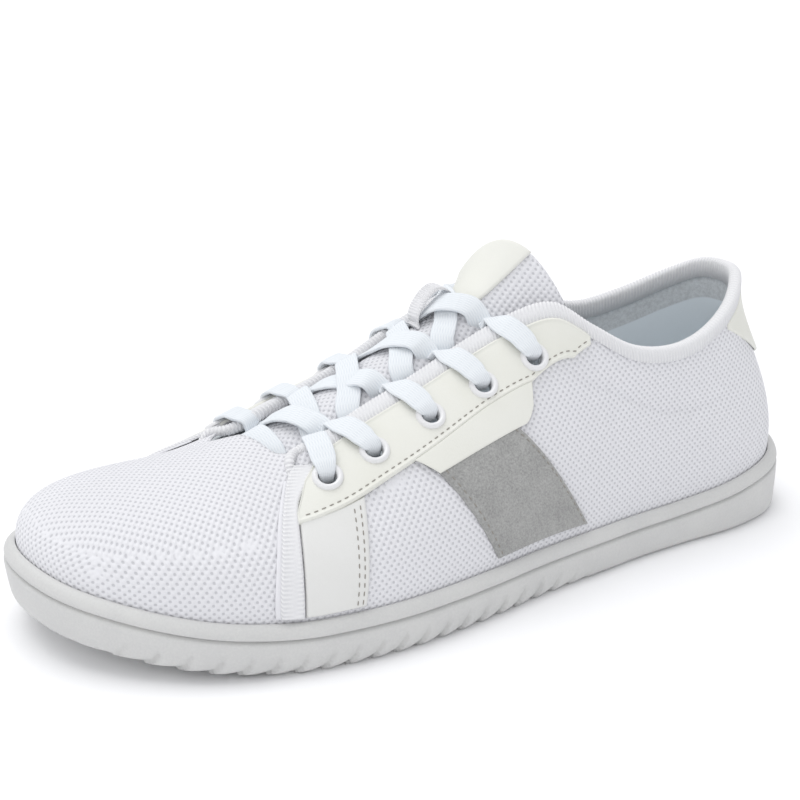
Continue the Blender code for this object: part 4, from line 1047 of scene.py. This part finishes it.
def make_eyestay(name, side, turn):
    """Leather under the eyelets, from its lower line to the tape, with one row of stitches."""
    place = EYESTAY_FRONT + (EYESTAY_REAR - EYESTAY_FRONT) * crowded(160)[:, None]
    lower, top = eyestay_span(place, turn)
    climb = lower + (top - lower) * crowded(44)[None, :]
    station = turn(place) + 0.0 * climb
    layer(name, station, climb, CREAM, "leather_cream", [name], thickness=EYESTAY_WALL,
          keep=clear_of_eyelets, rim=0.0003)
    place = EYESTAY_FRONT + (EYESTAY_REAR - EYESTAY_FRONT) * between(0.02, 0.985, 400)
    lower, top = eyestay_span(place, turn)
    rise = (top - lower) / column_length(turn(place), lower, top)
    sew(name + "_stitch", turn(place), lower + STITCH_INSET * rise, GAP + EYESTAY_WALL)


def column_length(station, lower, upper):
    """Length of skin up a column between two climbs."""
    share = between(0.0, 1.0, 9)
    climb = lower[:, None] + (upper - lower)[:, None] * share
    line = skin_point(station[:, None] + 0 * climb, climb)
    return np.linalg.norm(np.diff(line, axis=1), axis=-1).sum(1)


STITCH_LENGTH = 0.0015
STITCH_PITCH = 0.0026
STITCH_RADIUS = 0.00022


def read_columns(at, run, values):
    """Rows of values read at lengths of a run."""
    return np.column_stack([np.interp(at, run, column) for column in values.T])


def sew(name, station, climb, lift):
    """Stitches along a line on the skin, one small spindle at every pitch: six rings of radius
    sin(turn) along its length, laid in the frame of the line's direction and the normal."""
    line, normal = skin(station, climb, lift), skin_normal(station, np.clip(climb, 0, 1))
    run = lengths(line[:, None], 0)[:, 0]
    count = max(2, int(run[-1] / STITCH_PITCH))
    at = (np.arange(count) + 0.5) * run[-1] / count
    centre = read_columns(at, run, line)
    ahead = unit(read_columns(at + 1e-4, run, line) - read_columns(at - 1e-4, run, line))
    up = read_columns(at, run, normal)
    up = unit(up - ahead * (up * ahead).sum(1, keepdims=True))
    side = np.cross(up, ahead)
    turn = between(0.06, math.pi - 0.06, 6)
    around = np.arange(6) * math.pi / 3
    long = -np.cos(turn)[:, None] * 0.5 * STITCH_LENGTH + 0 * around
    wide = np.sqrt(np.sin(turn))[:, None] * np.cos(around) * STITCH_RADIUS
    high = np.sqrt(np.sin(turn))[:, None] * (np.sin(around) * 0.8 + 0.15) * STITCH_RADIUS
    ring = (centre[:, None, None] + ahead[:, None, None] * long[None, ..., None]
            + side[:, None, None] * wide[None, ..., None] + up[:, None, None] * high[None, ..., None])
    one = grid_faces(6, 6, wrap_columns=True)
    ends = np.array([[0, 1, 2, 3], [3, 4, 5, 0], [33, 32, 31, 30], [30, 35, 34, 33]])
    one = np.concatenate([one, ends])
    faces = (one[None] + (np.arange(count) * 36)[:, None, None]).reshape(-1, 4)
    # The stitches take the dark finish: painted shade along the stitch lines.
    return add_mesh(name, ring.reshape(-1, 3), faces, STITCH_SHADE_FINISH)


TAPE_OUTER = ((13.13, 0.045), (13.13, 0.17), (13.10, 0.37), (13.06, 0.575), (12.96, 0.735),
              (12.84, 0.83), (12.66, 0.885))
TAPE_INNER = ((12.78, 0.045), (12.775, 0.105), (12.765, 0.32), (12.75, 0.55), (12.68, 0.67),
              (12.38, 0.775), (12.10, 0.850))
FOLD_FRONT, FOLD_REAR = 0.07, -0.02     # stations in front of the tape's outer edge
FOLD_STEPS = 170                        # of the tape's 220, as the fold ends lower


def make_front_tape(name, side, turn):
    """Ribbed tape up the quarter's front edge, bent back along the throat, with the fold of
    the knit in front of it."""
    share = between(0.0, 1.0, 220)
    across = crowded(16)[:, None]
    outer, inner = (catmull_at(line, share) for line in (TAPE_OUTER, TAPE_INNER))
    place = outer[None, :, 0] + (inner - outer)[None, :, 0] * across
    climb = outer[None, :, 1] + (inner - outer)[None, :, 1] * across
    layer(name, turn(place).T, climb.T, TAPE, "ribbed_tape", [name], under=GAP + 0.0002, edge=0.0012,
          rim=0.0002)
    outer = outer[:FOLD_STEPS]
    place = outer[None, :, 0] + FOLD_FRONT + (FOLD_REAR - FOLD_FRONT) * across
    climb = outer[None, :, 1] + 0.0 * across
    layer(name + "_fold", turn(place), climb, FOLD, "mesh_white", thickness=0.0007, edge=0.0009)


ROLL_PATH = ((12.05, 1.0), (12.38, 1.0), (12.58, 0.985), (12.70, 0.945), (12.76, 0.895), (12.76, 0.84))
ROLL_RADIUS, ROLL_TAPER, ROLL_RIB = 0.0021, 0.0009, 0.00013


def make_roll(name, side, turn):
    """Rolled tape that leads the collar's tape round the throat's corner into the front tape: a
    ribbed round that tapers and sinks into the skin at both ends."""
    share = between(0.0, 1.0, 160)
    path = catmull_at(ROLL_PATH, share)
    station, climb = turn(path[:, 0]), path[:, 1]
    normal = skin_normal(station, climb)
    over = np.clip((climb - 0.93) / 0.07, 0.0, 1.0)
    sunk = 0.0017 * over + 0.0016 * np.clip((share - 0.75) / 0.25, 0.0, 1.0)
    centre = skin_point(station, climb) + normal * (0.0007 - sunk)[:, None]
    ahead = unit(np.gradient(centre, axis=0))
    across = unit(np.cross(normal, ahead))
    outward = np.cross(ahead, across)
    run = lengths(centre[:, None], 0)[:, 0]
    radius = ROLL_RADIUS - ROLL_TAPER * share + ROLL_RIB * np.sin(run * 2 * math.pi / RIB_PITCH)
    angle = np.arange(20) * 2 * math.pi / 20
    ring = (centre[:, None] + across[:, None] * (1.15 * radius[:, None] * np.cos(angle))[..., None]
            + outward[:, None] * (radius[:, None] * np.sin(angle))[..., None])
    tube(name, ring, ring_uv(run, 0.002 * angle), TAPE)


def catmull_at(places, share):
    """Catmull-Rom through rows of values, read at shares of it."""
    fine = catmull(places, 24)
    at = between(0.0, 1.0, len(fine))
    return read_columns(share, at, fine)


STRAP_TOP = 0.575


def strap_place(share, climb):
    """Lateral station across the strap, 0 at its front edge and 1 at its rear edge."""
    front, rear = 12.76 - 0.05 * climb, 11.77 - 0.56 * climb
    return front + (rear - front) * share


def make_strap(name, side, turn):
    """Leather across the ball of the foot, with two rows of stitches near its rear edge."""
    climb = (OVERLAY_LOW + (STRAP_TOP - OVERLAY_LOW) * crowded(40))[None, :]
    share = crowded(36)[:, None]
    layer(name, turn(strap_place(share, climb)), climb, OFF_WHITE, "leather_off_white", [name],
          under=GAP * 0.5)
    climb = between(OVERLAY_LOW + 0.01, STRAP_TOP - 0.025, 120)
    for index, share in enumerate((0.82, 0.91)):
        sew("%s_stitch_%d" % (name, index + 1), turn(strap_place(share, climb)), climb, GAP * 0.5 + LEATHER)


PANEL_TOP = 0.515
PANEL_STITCH = 0.10         # stations inside its edges


def panel_edges(climb):
    """Front and rear lateral stations of the grey panel at a climb."""
    return 8.85 + 2.34 * climb, 6.20 + 4.17 * climb


def make_panel(name, side, turn):
    """Grey suede between two slanting edges, each with a row of stitches."""
    climb = (OVERLAY_LOW + (PANEL_TOP - OVERLAY_LOW) * crowded(40))[None, :]
    front, rear = panel_edges(climb)
    place = front + (rear - front) * crowded(48)[:, None]
    layer(name, turn(place), climb, GREY, "suede_grey", [name], under=GAP * 0.5, edge=0.0008)
    climb = between(OVERLAY_LOW + 0.01, PANEL_TOP - 0.01, 160)
    front, rear = panel_edges(climb)
    for end, line in (("front", front - PANEL_STITCH), ("rear", rear + PANEL_STITCH)):
        sew("%s_%s_stitch" % (name, end), turn(line), climb, GAP * 0.5 + LEATHER)


TAB_LOW, TAB_CORNER = 0.495, 0.060      # climb of its lower edge, and the rear corner's rise
TAB_WALL = 0.0005


def make_tab():
    """Bare tab under the eyestay: its front end slants and its rear corner is rounded."""
    share, down = crowded(110)[:, None], crowded(44)[None, :]
    front, rear = 10.43 - 0.40 * down, 7.83 + 0.05 * down
    place = front + (rear - front) * share
    top = np.interp(place, *zip(*EYESTAY_LOW)) + 0.004
    low = TAB_LOW + TAB_CORNER * np.clip((share - 0.88) / 0.12, 0.0, 1.0) ** 2.2
    climb = top - (top - low) * down
    layer("side_tab_bare", place, climb, CREAM, "leather_cream", ["side_tab"],
          under=GAP * 0.5 + LEATHER, thickness=TAB_WALL, edge=0.0007)


HEEL_TAB = ((0.0, 0.43), (0.5, 0.435), (1.0, 0.48), (1.35, 0.565), (1.7, 0.68), (2.0, 0.78), (2.3, 0.88))


def make_heel_tab():
    """Leather round the heel, its lower edge a line through the heights of HEEL_TAB."""
    place = (HEEL_TAB[-1][0] * (2.0 * crowded(110) - 1.0))[:, None]
    low = np.interp(np.abs(place), *zip(*HEEL_TAB))
    top = np.maximum(under_tape(place), low + 0.01)
    climb = low + (top - low) * crowded(46)[None, :]
    layer("heel_leather", place, climb, CREAM, "leather_cream", ["heel_tab"])


# Eyelets

RING_RADIUS = 0.0049
RING_HOLE = 0.0029
RING_BARREL = 0.0034        # outside of the part in the hole
RING_SEAT = GAP + EYESTAY_WALL
RING_TALL = 0.0011


def make_eyelets():
    """Turned rings: a rounded profile of radius and height, carried round each eyelet's axis."""
    turn = between(0.0, math.pi, 9)
    middle, half = 0.5 * (RING_HOLE + RING_RADIUS), 0.5 * (RING_RADIUS - RING_HOLE)
    radius = np.concatenate([[RING_HOLE, RING_HOLE], middle - half * np.cos(turn),
                             [RING_RADIUS, RING_BARREL, RING_BARREL]])
    height = np.concatenate([[-UPPER_WALL - GAP, 0.3 * RING_SEAT], RING_SEAT + RING_TALL * np.sin(turn),
                             [RING_SEAT - 0.0002, RING_SEAT - 0.0002, -UPPER_WALL - GAP]])
    around = np.arange(40) * 2 * math.pi / 40
    local = np.stack([radius[:, None] * np.cos(around), radius[:, None] * np.sin(around),
                      height[:, None] + 0.0 * around], -1)
    faces = grid_faces(len(radius), 40, wrap_rows=True, wrap_columns=True)
    for label, place, basis in EYELETS:
        add_mesh("eyelet_ring_" + label, local @ basis.T + place, faces, RING,
                 ["eyelet_" + label])


# Lace

EYELET_TOP = RING_SEAT + RING_TALL
LACE_HALF = 0.5 * LACE_THICKNESS
TAPE_TOP = GAP + TAPE_WALL                      # the tape's outside above the skin
TAPE_CREST = TAPE_TOP + 0.3 * UPPER_WALL        # and its crest above the edge
OVER_SIDE = (-1, 1, -1, -1)                     # side whose strand is on top in each crossing
LACE_LEAN = (-0.05, 0.40, 0.37, 0.50, 0.62)     # stations to the toe at the edge, lateral side
TUCK_LEAN = {1: (0.0, 0.0, 0.10, 0.40), -1: (0.0, -0.20, -0.25, -0.10)}    # and under it, each side
BEHIND_TAPE = -UPPER_WALL - BINDING_WALL        # inside face of the tape
BAR_ROW = -0.45                                 # eyelet row of the bar before the first eyelets
RIDGE_SHARES = between(0.0, 1.0, 401)
RIDGE = tongue_point(RIDGE_SHARES, 0.0)


def lace_row(place, face, width=1.0, thick=1.0):
    """One row of the lace: its place, the direction it faces, shares of width and thickness."""
    return [*np.ravel(place), *unit(np.ravel(face)), width, thick]


def lace_station(row, side, lean=0.0):
    """Station of an eyelet row on one side, moved towards the toe by lean."""
    station = eyelet_value(row, EYELET_STATIONS) + lean
    return station if side > 0 else STATIONS - station


def on_side(row, side, climb, lift, lean=0.0, width=1.0, thick=1.0):
    """Row of the lace above the skin, facing along its normal."""
    station = lace_station(row, side, lean)
    return lace_row(skin(station, climb, lift), skin_normal(station, climb), width, thick)


def on_tongue(x, y, lift=0.0):
    """Row of the lace above the tongue's point at x, y."""
    length = np.interp(-x, -RIDGE[:, 0], RIDGE_SHARES)
    centre = tongue_point(length, 0.0)
    side = 1.0 if y > centre[1] else -1.0
    across = side * min(abs(y - centre[1]) / abs(tongue_point(length, side)[1] - centre[1]), 1.0)
    face = tongue_normal(length, across)
    return lace_row(tongue_point(length, across) + face * (LACE_HALF + GAP + lift), face)


def eyelet_end(row, side):
    """Rows from inside the tape's crest over it, down the leather and through the eyelet; in
    the hole the lace faces down the column."""
    lean, climb = LACE_LEAN[row] if side > 0 else 0.0, EYELET_HEIGHT[row]
    rows = []
    for further, inside, height, turned in ((1.30, UPPER_WALL + 0.0022, -0.0002, -0.3),
                                            (1.08, 0.0004, 0.0002, 0.4)):
        station = lace_station(row, side, further * lean)
        edge, normal = skin_point(station, 1.0), skin_normal(station, 1.0)
        up = unit(edge - skin_point(station, 0.985))
        crest = edge - normal * inside + up * (TAPE_CREST + LACE_HALF + height)
        rows.append(lace_row(crest, up + turned * normal))
    rows.append(on_side(row, side, 0.970, TAPE_TOP + LACE_HALF + 0.0003, 0.88 * lean))
    station = lace_station(row, side)
    fall = skin_point(station, climb - 0.02) - skin_point(station, climb + 0.02)
    share = 0.04 / np.linalg.norm(fall)         # climb to a metre of the column
    fall, normal = unit(fall), skin_normal(station, climb)
    for above, lift, width, thick in ((0.0085, 0.0, 1.0, 1.0), (0.0055, 0.0, 0.97, 1.0),
                                      (0.0032, -0.0001, 0.84, 1.1)):
        at = min(climb + above * share, 0.93)
        leaning = lean * (at - climb) / (1.0 - climb)
        rows.append(on_side(row, side, at, EYELET_TOP + LACE_HALF + lift, leaning, width, thick))
    return rows + [
        lace_row(skin(station, climb + 0.0013 * share, EYELET_TOP - 0.0006), fall + normal, 0.66, 1.25),
        lace_row(skin(station, climb + 0.0008 * share, -0.0002), fall, 0.58, 1.35),
        lace_row(skin(station, climb + 0.0012 * share, -UPPER_WALL - 0.0012), fall - normal, 0.60, 1.25),
        lace_row(skin(station, climb + 0.0045 * share, -UPPER_WALL - 0.0024), normal, 0.85, 1.1),
    ]


def under_edge(row, side):
    """Rows from behind the wall to the tongue, under the tape."""
    lean = TUCK_LEAN[side][row]
    station = lace_station(row, side, lean)
    edge = skin_point(station, 1.0)
    return [
        on_side(row, side, 0.90, BEHIND_TAPE - 0.0026, 0.6 * lean),
        on_side(row, side, 1.0, BEHIND_TAPE - 0.0030, lean),
        on_tongue(edge[0], edge[1] - 0.0062 * side, 0.0003),
    ]


def strand(row, side):
    """Rows of the run from one side of a row to the other side of the next: straight in plan,
    on the tongue or taut above it, and lifted over what it crosses."""
    start = under_edge(row, side) if row else eyelet_end(0, side)[:3][::-1]
    end = eyelet_end(row + 1, -side)
    first, last = np.array(start[-1][:3]), np.array(end[0][:3])
    base = GAP + LEATHER if row == EYELET_COUNT - 2 else 0.0
    over = LACE_THICKNESS if side == OVER_SIDE[row] else 0.0
    clear = LACE_THICKNESS + GAP if row < EYELET_COUNT - 2 else 0.0
    plan = lambda t: first[:2] + (last - first)[:2] * t
    middle = on_tongue(*plan(0.5), base + over)
    before = on_tongue(*plan(0.24), 0.0)
    after = on_tongue(*plan(0.78), base + clear)
    if not row:
        before[2] = max(before[2], 0.5 * (first[2] + middle[2]))
    after[2] = max(after[2], 0.5 * (last[2] + middle[2]) + 0.0006)
    return start + [before, middle, after] + end


def lace_path(first_side):
    """Rows of one half of the lace, from beside the bar's middle to its hidden end."""
    level = skin_point(np.array([lace_station(BAR_ROW, side) for side in (1, -1)]), 1.0)
    x, centre = level[:, 0].mean(), level[:, 1].mean()
    reach = 0.5 * abs(level[0, 1] - level[1, 1]) * first_side
    rows = [on_tongue(x, centre + 0.35 * reach), on_tongue(x, centre + 0.75 * reach)]
    rows.append(on_side(BAR_ROW, first_side, 0.93, BEHIND_TAPE - 0.0026))
    rows += eyelet_end(0, first_side)[3:][::-1]
    side = first_side
    for row in range(EYELET_COUNT - 1):
        rows += strand(row, side)
        side = -side
    for climb in (0.60, 0.52):
        rows.append(on_side(EYELET_COUNT - 1, side, climb, -UPPER_WALL - 0.0032))
    return np.array(rows)


def smooth_rows(rows, spacing=0.0008):
    """Cubic through the rows, by chord length: each slope is the mean of its neighbours'
    slopes, weighted by nearness; read at even steps."""
    step = np.linalg.norm(np.diff(rows[:, :3], axis=0), axis=1)
    at = np.concatenate([[0.0], np.cumsum(step)])
    slope = np.diff(rows, axis=0) / step[:, None]
    wide = step[:-1, None] + step[1:, None]
    inner = (slope[:-1] * step[1:, None] + slope[1:] * step[:-1, None]) / wide
    slopes = np.concatenate([slope[:1], inner, slope[-1:]])
    fine = between(0.0, at[-1], int(at[-1] / spacing))
    base = np.clip(np.searchsorted(at, fine, side="right") - 1, 0, len(step) - 1)
    wide = step[base][:, None]
    t = (fine - at[base])[:, None] / wide
    return ((2 * t ** 3 - 3 * t ** 2 + 1) * rows[base] + (t ** 3 - 2 * t ** 2 + t) * wide * slopes[base]
            + (3 * t ** 2 - 2 * t ** 3) * rows[base + 1] + (t ** 3 - t ** 2) * wide * slopes[base + 1])


def make_lace(name, nodes):
    """Flat lace in one run, from its medial to its lateral end: a superellipse, wide and thin,
    carried along the path and pinched in the eyelets."""
    rows = np.concatenate([lace_path(-1)[::-1], lace_path(1)])
    across = unit(np.cross(rows[:, 3:6], np.gradient(rows[:, :3], axis=0)))
    for index in range(1, len(rows)):
        if across[index] @ across[index - 1] < 0:
            across[index] = -across[index]
    rows[:, 3:6] = across
    rows = smooth_rows(rows)
    path, across, width, thick = rows[:, :3], rows[:, 3:6], rows[:, 6], rows[:, 7]
    run = lengths(path[:, None], 0)[:, 0]
    ahead = unit(np.gradient(path, axis=0))
    across = unit(across - ahead * (across * ahead).sum(1, keepdims=True))
    normal = np.cross(ahead, across)
    turn = np.arange(24) * 2 * math.pi / 24
    flat, tall = (np.sign(wave) * np.abs(wave) ** 0.55 for wave in (np.cos(turn), np.sin(turn)))
    ring = (path[:, None] + across[:, None] * (0.5 * LACE_WIDTH * flat * width[:, None])[..., None]
            + normal[:, None] * (0.46 * LACE_THICKNESS * tall * thick[:, None])[..., None])
    tube(name, ring, ring_uv(run, 0.5 * LACE_WIDTH * flat), LACE, nodes)


# Studio

FLOOR_HALF = 40.0


def make_floor():
    """One wide square at z = 0."""
    corners = [(FLOOR_HALF * x, FLOOR_HALF * y, 0.0) for x, y in ((-1, -1), (1, -1), (1, 1), (-1, 1))]
    mesh = bpy.data.meshes.new("studio_floor")
    mesh.from_pydata(corners, [], [(0, 1, 2, 3)])
    mesh.materials.append(FLOOR)
    floor = bpy.data.objects.new("studio_floor", mesh)
    bpy.context.scene.collection.objects.link(floor)


def stand(name, data, place, right, up, back):
    """A light or camera at a place, by the three directions of its frame."""
    made = bpy.data.objects.new(name, data)
    bpy.context.scene.collection.objects.link(made)
    turn = np.eye(4)
    turn[:3, :3] = np.column_stack([right, up, back])
    turn[:3, 3] = place
    made.matrix_world = Matrix(turn.tolist())
    return made


def place_light(name, lamp, place, target):
    """Light that faces its target."""
    back = unit(np.subtract(place, target))
    right = unit(np.cross((0.0, 0.0, 1.0), back) + (1e-6, 0.0, 0.0))
    stand(name, lamp, place, right, np.cross(back, right), back)


def make_studio():
    """White floor, even air, a broad soft sun above and behind, and a weak soft box in front."""
    bpy.context.scene.view_settings.view_transform = "Standard"
    make_floor()
    world = bpy.data.worlds.new("studio_air")
    bpy.context.scene.world = world
    world.use_nodes = True
    sky = world.node_tree.nodes["Background"]
    sky.inputs["Color"].default_value = (0.97, 0.98, 1.0, 1.0)
    sky.inputs["Strength"].default_value = 0.74
    sun = bpy.data.lights.new("sun", "SUN")
    sun.energy, sun.angle = 1.30, math.radians(48)
    place_light("sun", sun, (0.16, -0.36, 1.2), (0.0, 0.0, 0.0))
    front = bpy.data.lights.new("front", "AREA")
    front.size, front.energy, front.color = 0.8, 2.0, (1.0, 0.99, 0.97)
    place_light("front", front, (0.9, 0.8, 0.8), (0.10, 0.0, 0.04))
    lens = bpy.data.cameras.new("camera")
    lens.sensor_width, lens.lens = 36.0, CAMERA_LENS
    lens.clip_start, lens.clip_end = 0.01, 20.0
    right, up, ahead = (unit(np.array(way)) for way in (CAMERA_RIGHT, CAMERA_UP, CAMERA_FORWARD))
    bpy.context.scene.camera = stand("camera", lens, CAMERA_PLACE, right, up, -ahead)


make_studio()
make_outsole()
make_upper()
make_insole()
make_tongue()
make_collar_tape()
both_sides("front_binding", make_front_tape)
both_sides("throat_roll", make_roll)
both_sides("forefoot_strap", make_strap)
both_sides("side_panel", make_panel)
both_sides("eyestay", make_eyestay)
make_tab()
make_heel_tab()
make_eyelets()
make_lace("lace", ["lace_bar"] + ["lace_crossing_%d" % (row + 1) for row in range(EYELET_COUNT - 1)])
